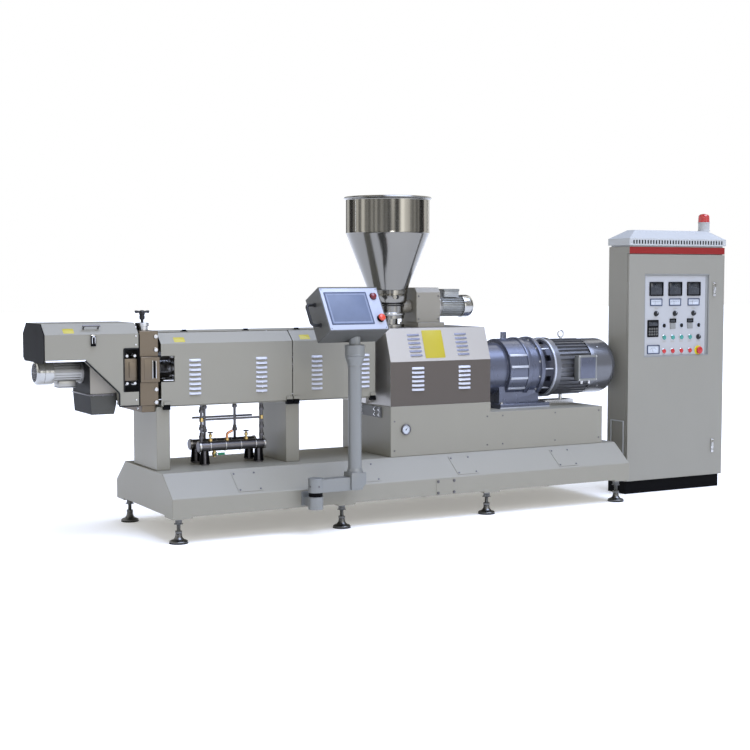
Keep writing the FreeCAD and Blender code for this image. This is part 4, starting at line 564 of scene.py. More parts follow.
screen_blue = moulded("screen_blue", (0.105, 0.13, 0.195), rough=0.35, depth=0.01, glow=0.15)
print(len(bpy.data.materials), "materials")

# %% [markdown]
# The camera stands where a visitor would take the usual picture of such a line: on the
# operator's side, off the cutter end, at eye height. It comes before the pieces because it
# never depends on them.

# %% Camera
camera_data = bpy.data.cameras.new("visitor_camera")
camera_data.sensor_width = 36.0
camera_data.lens = 67.26
camera = bpy.data.objects.new("visitor_camera", camera_data)
camera.location = at(-3117, -8802, 1680)
camera.rotation_euler = (math.radians(90 - 3.92), 0.0, math.radians(-28.97))
bpy.context.scene.collection.objects.link(camera)
bpy.context.scene.camera = camera
print("camera at", np.round(np.array(camera.location), 3))

# %% [markdown]
# The machine stands on a wide pale floor that glows faintly, so that it stays white up to the
# feet. It is part of the set, not of the machine.

# %% Floor
floor_mesh = bpy.data.meshes.new("studio_floor")
floor_mesh.from_pydata([(-60, -60, 0), (60, -60, 0), (60, 60, 0), (-60, 60, 0)], [], [(0, 1, 2, 3)])
floor = bpy.data.objects.new("studio_floor", floor_mesh)
floor_finish = Finish("studio_floor", Base_Color=(0.84, 0.83, 0.81, 1.0), Roughness=0.85)
floor_finish.feed(floor_finish.shader.inputs["Emission Color"], (1.0, 0.99, 0.97, 1.0))
floor_finish.feed(floor_finish.shader.inputs["Emission Strength"], 0.24)
floor_mesh.materials.append(floor_finish.done(height=floor_finish.grain(60), bump=0.02))
bpy.context.scene.collection.objects.link(floor)
floor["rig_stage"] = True
print("floor", [tuple(vertex.co) for vertex in floor_mesh.vertices][::2])

# %% [markdown]
# A broad cool sun overhead makes every sloping cover brighter than the wall below it. A weak
# warm one from the cutter end fills the end faces. Two panels in front of the line add the
# soft highlights: a large one for the drive and a small one for the hopper.


# %% Lamps
def lamp(name, kind, power, colour, rotation, place=(0, 0, 0), **size):
    """Lamp of a kind; size is the side of a panel or the angle of a sun."""
    data = bpy.data.lights.new(name, kind)
    data.energy = power
    data.color = colour
    for setting, value in size.items():
        setattr(data, setting, value)
    thing = bpy.data.objects.new(name, data)
    thing.location = place
    thing.rotation_euler = rotation
    bpy.context.scene.collection.objects.link(thing)


def along(direction):
    """Rotation of a lamp that shines along a direction."""
    return Vector(direction).to_track_quat("-Z", "Y").to_euler()


high_sun = (math.radians(20), math.radians(12), 0.0)
lamp("overhead", "SUN", 3.1, (0.81, 0.94, 1.32), high_sun, angle=math.radians(50))
lamp("side_fill", "SUN", 0.4, (1.0, 0.99, 0.95), along((1.0, 0.1, -0.25)), angle=math.radians(90))
for name, power, colour, start, target, side in (
    ("front", 60, (1.0, 0.985, 0.95), at(4200, -6500, 2800), at(1900, 0, 900), 3.5),
    ("hopper_strip", 40, (1.0, 1.0, 1.0), at(300, -5200, 3400), at(1878, 0, 2000), 0.8),
):
    lamp(name, "AREA", power, colour, along(target - start), start, size=side)
print(len(bpy.data.lights), "lamps")

# %% [markdown]
# The sky fills the rest: warm and dim near the ground, cooler above. Shiny metal sees another
# sky, of upright bright and dark boards, which is what draws the streaks on the hopper. The
# camera sees plain white behind the machine.


# %% Sky
class Sky(Finish):
    """The same algebra on the world's own nodes."""

    def __init__(self, world):
        """Work on the world's node tree."""
        self.tree = world.node_tree

    def shares(self, share, first, second):
        """Shader between two, by share."""
        return self.node("ShaderNodeMixShader", {0: share, 1: first, 2: second})

    def glow(self, colour, strength):
        """Even light of a colour whose strength may vary."""
        return self.node("ShaderNodeBackground", {"Color": colour, "Strength": strength})

    def ramp(self, value, low, high, first, last):
        """Value carried from low..high to first..last, and held at both ends."""
        return self.node("ShaderNodeMapRange", {0: value, 1: low, 2: high, 3: first, 4: last})


world = bpy.data.worlds.new("studio_sky")
world.use_nodes = True
bpy.context.scene.world = world
sky = Sky(world)
view = sky.node("ShaderNodeSeparateXYZ", {0: sky.node("ShaderNodeTexCoord", out="Generated")})
east, north, up = (Signal(sky, output) for output in view.socket.node.outputs)
bearing = sky.node("ShaderNodeMath", {0: north, 1: east}, operation="ARCTAN2")
waves = {"W": bearing, "Scale": 2.6, "Detail": 1.0}
boards = sky.node("ShaderNodeTexNoise", waves, out="Fac", noise_dimensions="1D")
tint = sky.mixed(sky.ramp(up, -0.2, 0.9, 0.0, 1.0), (1.03, 0.99, 0.88), (0.92, 0.98, 1.12))
banded = sky.glow((1.0, 0.99, 0.96, 1.0), sky.ramp(boards, 0.45, 0.68, 0.08, 2.0))
rays = sky.node("ShaderNodeLightPath").socket.node.outputs
shiny = sky.shares(Signal(sky, rays["Is Glossy Ray"]), sky.glow(tint, 0.64), banded)
seen = sky.shares(Signal(sky, rays["Is Camera Ray"]), shiny, sky.glow((1.0, 1.0, 1.0, 1.0), 1.0))
world.node_tree.links.new(seen.socket, world.node_tree.nodes["World Output"].inputs["Surface"])
bpy.context.scene.view_settings.view_transform = "Standard"
print("sky of", len(world.node_tree.nodes), "nodes")

# %% [markdown]
# Sheet metal and castings already have their true shape in the CAD model. They only need their
# edges broken and their own finish, so each such node goes through the same small step.

# %% Sheet metal and castings
EASED = {
    "base_frame": (enamel, 4), "access_plates": (enamel, 1), "barrel_columns": (enamel, 4),
    "cover_tunnel": (enamel, 1), "front_cover_left": (enamel, 1), "front_cover_right": (enamel, 1),
    "cover_hardware": (satin_black_and_shade, 1), "barrel": (machined, 1), "changer_blocks": (tan_block, 3),
    "changer_slide": (tan_block, 3), "die_head": (machined, 1), "changer_fittings": (zinc_and_highlight, 1),
    "hood_walls": (enamel, 1), "hood_end_panels": (satin_black_and_shade, 2), "hood_lid": (enamel, 1),
    "cutter_chute": (chute_grey, 3), "drive_box": (enamel, 4), "coupling_guard": (brushed, 1),
    "hopper_neck": (polished, 1), "feeder_housing": (feeder_enamel, 3), "gearbox": (gear_enamel, 3),
    "bell_housing": (bell_painted_shade, 2), "main_motor": (motor_enamel, 1), "motor_support": (zinc_and_highlight, 1),
    "cooling_pipes": (dark_steel, 1), "drain_valve": (brass, 1), "drain_lever": (green_grip, 1),
    "pendant_bracket": (silver_enamel, 2), "pendant_arm": (silver_enamel, 2),
    "panel_swivel": (silver_enamel, 2), "panel_enclosure": (box_grey, 4),
    "cabinet_plinth": (satin_black_and_shade, 2), "cabinet_body": (cabinet_powder, 2),
    "cabinet_door": (cabinet_powder, 2), "door_latches": (zinc_and_highlight, 2), "cabinet_roof": (roof_powder_and_highlight, 2),
}
sheets = {name: eased(name, finish, width) for name, (finish, width) in EASED.items()}
print(len(sheets), "nodes eased")

# %% [markdown]
# One casting or sheet can wear two finishes: the guard is stainless above and painted dark below, a
# painted reflection of the dark floor, and the cabinet has a red band on its front. The faces to
# repaint are picked by where their middles lie, in machine millimetres, for all faces at once.


# %% Second finishes
def repaint(thing, finish, chosen):
    """Give a second finish to the faces picked by chosen(middles, normals)."""
    mesh = thing.data
    middles = np.empty(len(mesh.polygons) * 3)
    normals = np.empty(len(mesh.polygons) * 3)
    mesh.polygons.foreach_get("center", middles)
    mesh.polygons.foreach_get("normal", normals)
    middles = (middles.reshape(-1, 3) - datum) * 1000
    marks = np.empty(len(mesh.polygons), int)
    mesh.polygons.foreach_get("material_index", marks)
    marks[chosen(middles, normals.reshape(-1, 3))] = len(mesh.materials)
    mesh.materials.append(finish)
    mesh.polygons.foreach_set("material_index", marks)
    print(thing.name, "repainted faces:", int(np.sum(marks == len(mesh.materials) - 1)))


def guard_wall(p, n):
    """Both upright walls of the guard, below its fold."""
    return (p[:, 2] < 1101) & (abs(n[:, 1]) > 0.9)


def fascia(p, n):
    """Band above the door, on the front of the cabinet."""
    return (p[:, 2] > 1874) & (n[:, 1] < -0.5) & (p[:, 1] < -255)


def lid_handle(p, n):
    """Faces near x = -408 that lie more than 3 mm off the lid's slope of 68 in 80."""
    off_slope = (p[:, 2] - 1332) * 80 > (p[:, 1] + 245) * 68 + 3 * math.hypot(80, 68)
    return (abs(p[:, 0] + 408) < 64) & off_slope & (p[:, 1] < -150)


def chute_mouth(p, n):
    """Near faces of the chute's lower half."""
    return (n[:, 1] < -0.5) & (p[:, 2] < 1000)


# Painted reflection: the guard's walls below the fold are painted dark, for the dark floor mirrored in the
# stainless sheet.
repaint(sheets["coupling_guard"], painted_guard_reflection, guard_wall)
repaint(sheets["cabinet_body"], fascia_red, fascia)
repaint(sheets["cover_hardware"], box_grey, lambda p, n: p[:, 0] > 1660)
# Painted highlight: the top of the main motor's fins, above z = 1224, is painted bright zinc where light from
# above falls.
repaint(sheets["main_motor"], zinc_and_highlight, lambda p, n: p[:, 2] > 1224)
repaint(sheets["hood_lid"], dark_steel, lid_handle)
repaint(sheets["cutter_chute"], chute_front, chute_mouth)

# %% [markdown]
# Screws, bolts and louvres come in rows, so each is made once and repeated along a list of
# places. A bolt head is a hexagon with a washer; a cap screw is turned, with a hollow socket.


# %% Fasteners
def rows_of(made, places):
    """Copies of a shape made at the origin, one at each place, as a single shape."""
    return together([made.moved(place) for place in places])


def hex_bolt(across, height, along):
    """Hexagon head over a thin washer, facing along a direction."""
    washer = lathe([(across * 0.72, -1), (across * 0.72, 1.6)], (0, 0, 0), along, 20, 0.4)
    head = pressed(polygon(across / 2, 6), height, (0, 0, 0), along, 0.6, 1.0)
    return washer + head


def cap_screw(radius, height, along, around=20):
    """Turned head with a hollow socket: out over the rim, then down into the socket."""
    profile = [(radius, -0.5), (radius, height), (radius * 0.55, height), (radius * 0.5, height * 0.35)]
    return lathe(profile, (0, 0, 0), along, around, radius * 0.12)


UP_SLOPE = np.array([0.0, 182, 144]) / math.hypot(182, 144)
OFF_SLOPE = np.array([0.0, -144, 182]) / math.hypot(182, 144)


def on_base_slope(x, up, rise):
    """Place on the near slope of the base, a distance up it and off it."""
    return np.array([x, BASE_Y, 294]) + UP_SLOPE * up + OFF_SLOPE * rise


plate_low = [461, 1340, 2133, 3012]
corners = [on_base_slope(x + dx, up, 3) for x in plate_low for dx in (15, 159) for up in (36, 180)]
slope_screws = rows_of(cap_screw(6.5, 3.5, OFF_SLOPE, 14), corners).mirrored()
blank = [(x, BASE_Y - 3, z) for x in (1958, 2088) for z in (192, 272)]
blank_bolts = rows_of(hex_bolt(15, 6, "-Y"), blank)
piece("access_plate_screws", slope_screws + blank_bolts, dark_steel)
drive_screws = [(x, BOX_Y, z) for x in (1712, 2486, 2620, 3090, 3496) for z in (482, 688)]
piece("drive_box_screws", rows_of(cap_screw(6, 2.5, "-Y", 14), drive_screws).mirrored(), dark_steel)
hardware = np.array([vertex.co for vertex in frame["nodes"]["cover_hardware"].data.vertices])
hardware = (hardware - datum) * 1000
bracket = hardware[hardware[:, 0] > 1660]
low, high = bracket.min(axis=0), bracket.max(axis=0)
ends = [(low[0], y, z) for y in (low[1] + 26, low[1] + 92, high[1] - 26) for z in (low[2] + 20, high[2] - 20)]
piece("barrel_bracket_bolts", rows_of(hex_bolt(18, 9, "-X"), ends), zinc_and_highlight)
print(len(corners), "plate screws a side,", len(drive_screws), "drive box screws a side")

# %% [markdown]
# The line stands on eight levelling feet. Each is a pressed bell on a rubber pad, with a
# threaded stem and two nuts: the lower one is turned to level the base, the upper one locks it.


# %% Levelling feet
def thread(radius, low, high, pitch=4.0):
    """Profile of a screw thread: radius - depth * triangle wave of the distance along it."""
    z = np.linspace(low, high, int((high - low) / pitch * 2) + 1)
    wave = np.arange(len(z)) % 2
    return np.column_stack([radius - 1.5 * wave, z])


foot_low, foot_high = extent("levelling_feet")
foot_xs = np.linspace(foot_low[0] + 61, foot_high[0] - 61, 4)
foot_places = [(x, y, 0) for x in foot_xs for y in (foot_low[1] + 61, foot_high[1] - 61)]
bell = [(55, 5), (60, 8), (60, 15), (53, 20), (36, 26), (26, 38), (22, 50), (21, 62), (14, 64)]
foot = lathe(bell, (0, 0, 0), around=40, radius=3)
foot = foot + lathe(thread(13, 60, 162), (0, 0, 0), around=20, radius=0.3)
for low in (64, 126, 143):
    foot = foot + pressed(polygon(24, 6, 15), 17, (0, 0, low), corner=1, edge=2)
foot = foot + lathe([(30, 124), (30, 127)], (0, 0, 0), around=32)
pad = lathe([(52, 0), (61, 0), (61, 6), (52, 6)], (0, 0, 0), around=40, radius=1.5)
piece("levelling_feet_steel", rows_of(foot, foot_places), foot_steel, stands_for=["levelling_feet"])
piece("levelling_feet_pads", rows_of(pad, foot_places), rubber)
print(len(foot_places), "feet at x", np.round(foot_xs).tolist())

# %% [markdown]
# Heat leaves the covers through louvres. A press cuts a slot and pushes the metal above it out
# into a small scoop, closed at both ends, so that it sheds dust. The scoop is a function of two
# parameters, across it and down it, and it swells quickly at its ends.


# %% Louvres
def scoop(length, drop, depth, stations=11):
    """Scoop at the origin, along x and down -y: out = depth * sin(pi u)^0.3 * sin(pi v / 2)."""
    u = np.linspace(0, 1, stations)
    v = np.linspace(0, 1, 5)
    swell = np.sin(np.pi * u)[:, None] ** 0.3 * np.sin(np.pi * v / 2)[None]
    across = np.broadcast_to(((u - 0.5) * length)[:, None], swell.shape)
    down = np.broadcast_to(-v * drop, swell.shape)
    outer = np.stack([across, down, depth * swell], axis=-1)
    inner = outer - [0, 0, 1.4]
    return skin(np.concatenate([outer, inner[:, ::-1]], axis=1))


def louvres(columns, rows, plane, place, length, depth=8.0, drop=15.0):
    """Scoops in columns and rows on a plane; place(x, row) is the middle of a slot's top edge."""
    made = scoop(length + 8, drop, depth).laid(plane)
    return rows_of(made, [place(x, row) for x in columns for row in rows])


def cover_slot(x, row):
    """Top edge of a cover's slot, counted from the lowest row."""
    return (x, COVER_Y, 924 + 31 * row + 19)


left_louvres = louvres((278, 753), range(8), "-Y", cover_slot, 74, 12, 16)
right_louvres = louvres((1167, 1535), range(8), "-Y", cover_slot, 74, 12, 16)
# Painted highlight: the scoops are paler than the cover they are pressed from, for the light on their tops.
piece("louvres_left", left_louvres, louvre_painted_highlight, "cover_left")
piece("louvres_right", right_louvres, louvre_painted_highlight, "cover_right")
piece("louvres_far", (left_louvres + right_louvres).scaled([1, -1, 1]), louvre_painted_highlight)
fold = np.array([[1, 0, 0], [0, 0.332, 0.943], [0, -0.943, 0.332]])


def guard_slot(x, row):
    """Lower wall: rows upright from the box; upper wall: rows up the leaning sheet."""
    if row < 6:
        return (x, BOX_Y, 894 + 30 * row + 19)
    up = 34 + 30 * (row - 6) + 18
    return (x, BOX_Y + 0.332 * up, 1103 + 0.943 * up)


lower = louvres((1903, 2289), range(6), "-Y", guard_slot, 92, 12, 16)
upper = louvres((1897, 2289), range(6, 12), fold, guard_slot, 92)
# On the guard the lower scoops wear the same painted highlight, and the upper ones louvre_shadow, a painted
# shade.
piece("guard_louvres_low", lower.mirrored(), louvre_painted_highlight)
piece("guard_louvres_high", upper.mirrored(), louvre_shadow)
print(len(left_louvres.sizes) + len(right_louvres.sizes), "faces of louvres on the covers")

# %% [markdown]
# Where the real line carries printed notices, this one has plain yellow plates, glued flat on
# the sheet with rounded corners.

# %% Plain yellow plates
cover_slope = np.array([[1, 0, 0], [0, 84, 73], [0, -73, 84]]) / np.array([[1], [111.3], [111.3]])
hood_slope = np.array([[1, 0, 0], [0, 80, 68], [0, -68, 80]]) / np.array([[1], [105], [105]])
patch = pressed(oblong(76, 46), 1.0, (0, 0, 0), cover_slope, 6, 0.4)
for side, x in (("left", 178), ("right", 1084)):
    place = np.array([x, COVER_Y, 1263]) + cover_slope[1] * 34
    piece(f"yellow_plate_{side}", patch.moved(place), label_yellow, f"cover_{side}")
patch = pressed(oblong(70, 44), 1.0, (0, 0, 0), hood_slope, 6, 0.4)
place = np.array([-556, -245, 1332]) + hood_slope[1] * 34
piece("yellow_plate_hood", patch.moved(place), label_yellow, "lid")
notice = pressed(oblong(164, 206), 1.2, np.array([2052, BOX_Y, 1103]) + fold[1] * 124, fold, 8, 0.4)
piece("yellow_plate_guard", notice, label_yellow)
print("four plain plates")

# %% [markdown]
# Under the covers, mica heater bands grip the barrel. Each band is a rolled sheet with two raised
# beads and a clamp, and a white ceramic terminal cover with two brass posts.

# %% Heater bands
band_xs = np.arange(10) * 150 + extent("heater_bands")[0][0]
section = [(59, 0), (75, 0), (75, 20), (76, 24), (75, 28), (75, 90), (76, 94), (75, 98), (75, 118), (59, 118)]
band = lathe(section, (0, 0, SCREW_Z), "+X", 64)
cover = pressed(oblong(34, 44), 25, (59, 0, 1174), "+Z", 5, 3)
posts = rows_of(lathe([(3.5, 0), (3.5, 8), (2, 9)], (0, 0, 0), "+Y", 12), [(52, 20, 1188), (66, 20, 1188)])
clamp = block((8, -10, 1018), (110, 10, 1026), 2, 1)
clamp = clamp + rows_of(hex_bolt(10, 4, "-Y"), [(30, -10, 1022), (88, -10, 1022)])
bands = [(x, 0, 0) for x in band_xs]
piece("heater_bands_rolled", rows_of(band + clamp, bands), zinc_and_highlight, stands_for=["heater_bands"])
piece("heater_terminals", rows_of(cover, bands), dial_white)
piece("heater_posts", rows_of(posts, bands), brass)
print(len(band_xs), "heater bands from x", round(band_xs[0]), "to", round(band_xs[-1] + 118))

# %% [markdown]
# The screen changer is two thick ground steel blocks with a slide between them. High-tensile
# cap screws hold it to the barrel, and they are bright against the oiled steel.

# %% Screen changer details
bolt_z = [887, 970, 1226, 1311]
screws = rows_of(cap_screw(13, 9, "-Y", 24), [(13, -232, z) for z in bolt_z])
end_places = [(-97, y, z) for y in (-200, 200) for z in (850, 990, 1210, 1320)]
screws = screws + rows_of(cap_screw(9, 7, "-X", 20), end_places)
screws = screws + rows_of(cap_screw(13, 9, "+Y", 24), [(13, 232, z) for z in bolt_z])
piece("changer_screws", screws, zinc_and_highlight)
boss_face = block((-74, -258.5, 1034), (-26, -255, 1166), 4, 1)
piece("slide_boss", boss_face, tan_block)
# Painted shade: the groove is a black strip laid on the face, for the shade inside it.
groove = block((-14, -257.5, 1046), (2, -255.4, 1154), 5, 0.5)
piece("slide_groove", groove, satin_black_and_shade)
rails = block((-20, -260, 1042), (-15, -255, 1158), 1.5, 1) + block((3, -260, 1042), (8, -255, 1158), 1.5, 1)
piece("slide_groove_rails", rails, zinc_and_highlight)
die_body = block((-196, -226, 1030), (-108, -80, 1172), 6, 4)
die_body = die_body + block((-166, -232, 1050), (-120, -224, 1150), 4, 2)
piece("die_body", die_body.mirrored(), tan_block)
pin = lathe([(13, 0), (13, 26), (9, 30), (9, 44)], (0, 0, 0), "-Y", 24, 2)
clamp_pins = rows_of(pin, [(x, -190, z) for x in (-180, -128) for z in (1014, 1190)])
piece("die_clamp_pins", clamp_pins.mirrored(), zinc_and_highlight)
collar_ring = lathe([(64, 0), (82, 0), (82, 12), (64, 12)], (32, 0, SCREW_Z), "+X", 56, 2, hollow=True)
piece("barrel_clamp_ring", collar_ring, zinc_and_highlight)
print("blocks", [np.round(corner).tolist() for corner in extent("changer_blocks")])

# %% [markdown]
# A T-handle turns the spindle that seals the slide. Its bar and its waisted hub are black
# plastic, with the ends of the bar swelling a little for the fingers.

# %% T-handle
hub = [(9, 1397), (9, 1416), (17, 1421), (18, 1440), (15, 1446), (19, 1452), (19, 1464), (11, 1478)]
half = [(6.5, 0), (7.5, 28), (9, 34), (9, 47), (3, 49)]
bar = [(radius, -x) for radius, x in half[:0:-1]] + half
piece("tee_hub", lathe(hub, (-33, -110, 0)), black_plastic, "tee", ["tee_handle"])
piece("tee_bar", lathe(bar, (-33, -110, 1468), "+X"), black_plastic, "tee")
print("T-handle", [np.round(corner).tolist() for corner in extent("tee_handle")])

# %% [markdown]
# The pelletising hood ends in rolled and rubber-edged rims, so that hands don't meet a cut
# sheet: a bright rolled lip below the wall, and a push-on rubber profile along the slant.

# %% Hood rims and fittings
lip = pipe([(-708, COVER_Y, 1168), (-455, COVER_Y, 1168)], 5, 4).mirrored()
piece("hood_rolled_lip", lip, louvre_steel)
slant = [(-458, COVER_Y, 1169), (-237, COVER_Y, 956), (-237, COVER_Y, 872)]
slant = pipe(slant, 5.5, 12, up=(0, 1, 0)).mirrored()
floor_rim = pipe([(-237, COVER_Y, 870), (-110, COVER_Y, 870)], 4.5, 4).mirrored()
window = [(-205, -247, 962), (-205, -247, 1238), (-110, -247, 1238)]
window_rim = pipe(window, 4, 10, up=(0, 1, 0)).mirrored()
piece("hood_rubber_edge", slant + floor_rim + window_rim, rubber)
screws = rows_of(cap_screw(6, 3, "-Y", 14), [(-124, -245, z) for z in (908, 1262, 1318)])
piece("hood_screws", screws.mirrored(), zinc_and_highlight)
wire = [(-414, -258, 1272), (-414, -262, 1318), (-396, -262, 1318), (-396, -258, 1272)]
wire = pipe(wire, 3, 6, up=(0, 1, 0))
toggle = block((-419, -254, 1266), (-391, COVER_Y, 1330), 3, 1.5) + wire
piece("hood_toggle", toggle, zinc_and_highlight)
print("hood wall", [np.round(corner).tolist() for corner in extent("hood_walls")])

# %% [markdown]
# The cutter motor lies under the hood. It is a small flange motor: a ribbed aluminium body, a
# deep-drawn bright fan cowl with an air grille, and a terminal box below.


# %% Motor parts
def axial(profile, height, around=56, radius=1.5, hollow=False):
    """Turned part on the axis along X at a height; its profile is (radius, x)."""
    return lathe(profile, (0, 0, height), "+X", around, radius, hollow)


def around_axis(shape, turns, height):
    """Copies of a shape turned about the axis along X at a height, one for each angle."""
    return together([shape.turned("X", turn, (0, 0, height)) for turn in turns])


def circle_of(x, radius, height, turns):
    """Places (x, r cos a, height + r sin a), one for each angle a in degrees."""
    return [(x, radius * math.cos(a), height + radius * math.sin(a)) for a in np.radians(turns)]


def fins(count, inner, outer, start, length, thick, height, skip=()):
    """Cooling fins as thin bars set round an axis along X, each turned by its own angle."""
    low = (start, -thick / 2, height + inner)
    high = (start + length, thick / 2, height + outer)
    fin = block(low, high, 1.0, min(thick / 2.2, 1.0))
    return around_axis(fin, [360 / count * index for index in range(count) if index not in skip], height)


def grille(radius, height, rings=5):
    """Air grille across X: wire rings of growing radius over crossed spokes."""
    radii = np.linspace(radius * 0.25, radius * 0.92, rings)
    wires = [axial([(r - 2, 0), (r + 2, 0), (r + 2, 3), (r - 2, 3)], height, 56, 0.8, True) for r in radii]
    spoke = block((-2, -2, height - radius), (2, 2, height + radius), 1, 0.8)
    return together(wires + [around_axis(spoke, (0, 45, 90, 135), height)])


body = [(20, -606), (69, -606), (69, -424), (76, -422), (76, -398), (20, -398)]
cutter_body = axial(body, CUTTER_Z)
cutter_ribs = fins(24, 60, 74, -600, 168, 3, CUTTER_Z, (10, 11, 12, 13, 14))
cutter_box = block((-574, -52, 986), (-456, 52, 1030), 8, 3)
cutter_box = cutter_box + block((-560, -36, 1026), (-470, 36, 1050), 4, 2)
lid_seam = block((-575, -53, 992), (-455, 53, 995), 8, 1)
piece("cutter_motor_body", cutter_body + cutter_ribs + cutter_box, cast_silver, stands_for=["cutter_motor"])
piece("cutter_motor_seam", lid_seam, black_plastic)
cowl = [(46, -715), (66, -714), (76, -706), (79, -696), (79, -664), (77, -662), (79, -660), (79, -606)]
piece("cutter_motor_cowl", axial(cowl + [(60, -604)], CUTTER_Z, 56, 3), chrome)
# Painted shade: a black disc fills the cowl's fan opening, for the shade behind the grille.
piece("cutter_motor_fan_hole_shade", axial([(58, -716), (58, -712)], CUTTER_Z, 48, 0.5), satin_black_and_shade)
cage = grille(56, CUTTER_Z, 4).moved([0, 0, -CUTTER_Z]).scaled([0.4, 1, 1])
piece("cutter_motor_grille", cage.moved([-716.2, 0, CUTTER_Z]), dark_steel)
print("cutter motor", np.round(extent("cutter_motor")[0]).tolist())

# %% [markdown]
# Pellets fall through the cutting chute. Its dark lower half bolts on below a flange at the
# waist, and a beige shield covers each side above it.

# %% Chute
shield = pressed([(-408, 952), (-241, 952), (-241, 1150), (-408, 1150)], 2, (0, -182, 0), "-Y", 3, 0.8)
piece("chute_shield", shield.mirrored(), chute_beige)
flange = block((-415, -186, 939), (-240, 186, 948), 4, 2)
rim_bolts = rows_of(hex_bolt(12, 5, "-Y"), [(x, -186, 944) for x in (-390, -325, -262)])
piece("chute_flange", flange + rim_bolts.mirrored(), dark_steel)
print("chute", np.round(extent("cutter_chute")[0]).tolist())

# %% [markdown]
# The oil gauge on the drive box is a dark bezel round a white face, with a needle. Its marks
# are short plain bars set round the face.


# %% Oil gauge
def marks(count, inner, outer, thick, sweep=270.0):
    """Bars round a dial face, over a sweep that is open at the bottom."""
    bar = pressed(oblong(thick, outer - inner), 0.6, (0, (inner + outer) / 2, 0), "+Z", 0.3, 0.2)
    turns = np.linspace(-sweep / 2, sweep / 2, count)
    return together([bar.turned("Z", turn) for turn in turns])


gauge_low, gauge_high = extent("oil_gauge")
gauge = ((gauge_low + gauge_high) / 2) * [1, 0, 1] + [0, BOX_Y, 0]
rim = [(30, 9), (30, 12), (34, 14), (38, 12), (38, 0), (20, 0), (20, 7), (30, 7)]
bezel = lathe(rim, gauge, "-Y", 56, 1.2, True)
piece("gauge_bezel", bezel, dark_steel, stands_for=["oil_gauge"])
piece("gauge_face", lathe([(31, 3), (31, 7.5)], gauge, "-Y", 48, 0.4), dial_white)
needle = pressed([(-2.2, -7), (2.2, -7), (0.6, 22), (-0.6, 22)], 1, (0, 0, 0), "+Z", 0.4, 0.3)
ticks = marks(11, 22, 28, 1.6) + needle.turned("Z", -40) + lathe([(4, 0), (4, 2)], (0, 0, 0), "+Z", 20)
piece("gauge_marks", ticks.laid("-Y").moved(gauge).moved([0, -7.6, 0]), satin_black_and_shade)
print("gauge at", np.round(gauge).tolist())

# %% [markdown]
# The hopper is spun from polished stainless sheet: a straight band and a cone, welded together,
# with the rim rolled over a wire. It is hollow, so its profile runs up outside and down inside.
# Below the cone come a rounded cup on a black seal, a bright clamp ring and the throat's bolts.

# %% Hopper
hopper_x = sum(corner[0] for corner in extent("hopper")) / 2
# Points close to each end of the cone and the band keep the long faces between them shaded flat.
outside = [(142, 1601), (146, 1611.5), (292.6, 1993.9), (296.5, 2004), (300.5, 2007), (299, 2012)]
outside += [(298.9, 2022), (298.9, 2234), (299, 2244), (309, 2248), (315, 2256), (309, 2264)]
inside = [(299, 2264.5), (295, 2258), (295, 2010), (293, 2004), (138, 1601)]
hopper_axis = (hopper_x, 0, 0)
shell = lathe(outside + inside, hopper_axis, "+Z", 96, 2.5, hollow=True)
piece("hopper_shell", shell, polished, stands_for=["hopper"])
seam = pipe([(hopper_x - 293, -60, 2014), (hopper_x - 293, -60, 2240)], 1.6, 1, 8, up=(0, 1, 0))
piece("hopper_seam", seam, zinc_and_highlight)
cup = [(113, 1602), (141, 1600), (141, 1548), (134, 1512), (113, 1498)]
piece("neck_cup", lathe(cup, hopper_axis, "+Z", 72, 6, True), polished)
seal = [(111, 1486), (121, 1487), (121, 1496), (111, 1497)]
piece("neck_seal", lathe(seal, hopper_axis, "+Z", 64, 1.5, True), black_plastic)
clamp = [(110, 1420), (124, 1420), (126, 1424), (126, 1436), (124, 1440), (110, 1440)]
piece("neck_clamp", lathe(clamp, hopper_axis, "+Z", 64, 1.5, True), chrome)
places = [(hopper_x + 104 * math.cos(a), 104 * math.sin(a), 1397) for a in np.radians(np.arange(8) * 45 + 22)]
piece("throat_bolts", rows_of(hex_bolt(16, 7, "+Z"), places), zinc_and_highlight)
knob = lathe([(8, 112), (8, 122), (15, 126), (16, 140), (13, 144)], (hopper_x, 0, 1552), "-Y", 28, 2)
piece("neck_knob", knob, black_plastic)
print("hopper axis at x", round(hopper_x))

# %% [markdown]
# The feeder screw is driven by a small motor. Its flange and ribs are cast, and the fan cowl is
# a bright pressing.

# %% Feeder motor
flange = [(20, 2237.5), (92, 2237.5), (96, 2241), (96, 2254), (84, 2258), (78, 2281), (20, 2283)]
barrel_part = axial([(20, 2278), (66, 2278), (66, 2470), (20, 2470)], FEEDER_Z, radius=0.8)
ribs = fins(28, 60, 76, 2284, 184, 3, FEEDER_Z, (0, 1, 2, 26, 27))
feeder_box_low = block((2306, -54, 1548), (2434, 54, 1590), 8, 2)
piece("feeder_motor_body", barrel_part + ribs + feeder_box_low, motor_grey, stands_for=["feeder_motor"])
piece("feeder_motor_flange", axial(flange, FEEDER_Z), cast_silver)
piece("feeder_motor_lid", block((2302, -57, 1590), (2438, 57, 1607), 8, 4), silver_enamel)
cowl = [(40, 2469), (80, 2469), (82, 2472), (82, 2526), (76, 2546), (60, 2556), (30, 2557)]
piece("feeder_motor_cowl", axial(cowl, FEEDER_Z, 56, 5), chrome)
places = circle_of(2254, 88, FEEDER_Z, np.arange(6) * 60 + 30)
piece("feeder_flange_bolts", rows_of(hex_bolt(14, 7, "+X"), places), zinc_and_highlight)
housing = rows_of(cap_screw(6, 3, "-Y", 14), [(x, -110, h) for x in (2054, 2220) for h in (1392, 1556)])
piece("feeder_screws", housing.mirrored(), dark_steel)
print("feeder motor", np.round(extent("feeder_motor")[0]).tolist())

# %% [markdown]
# The gearbox is a round enamelled casting with a raised ring at each joint. Four paler bosses
# run along each side of its drum for the tie bolts, and webs stiffen its slim end.

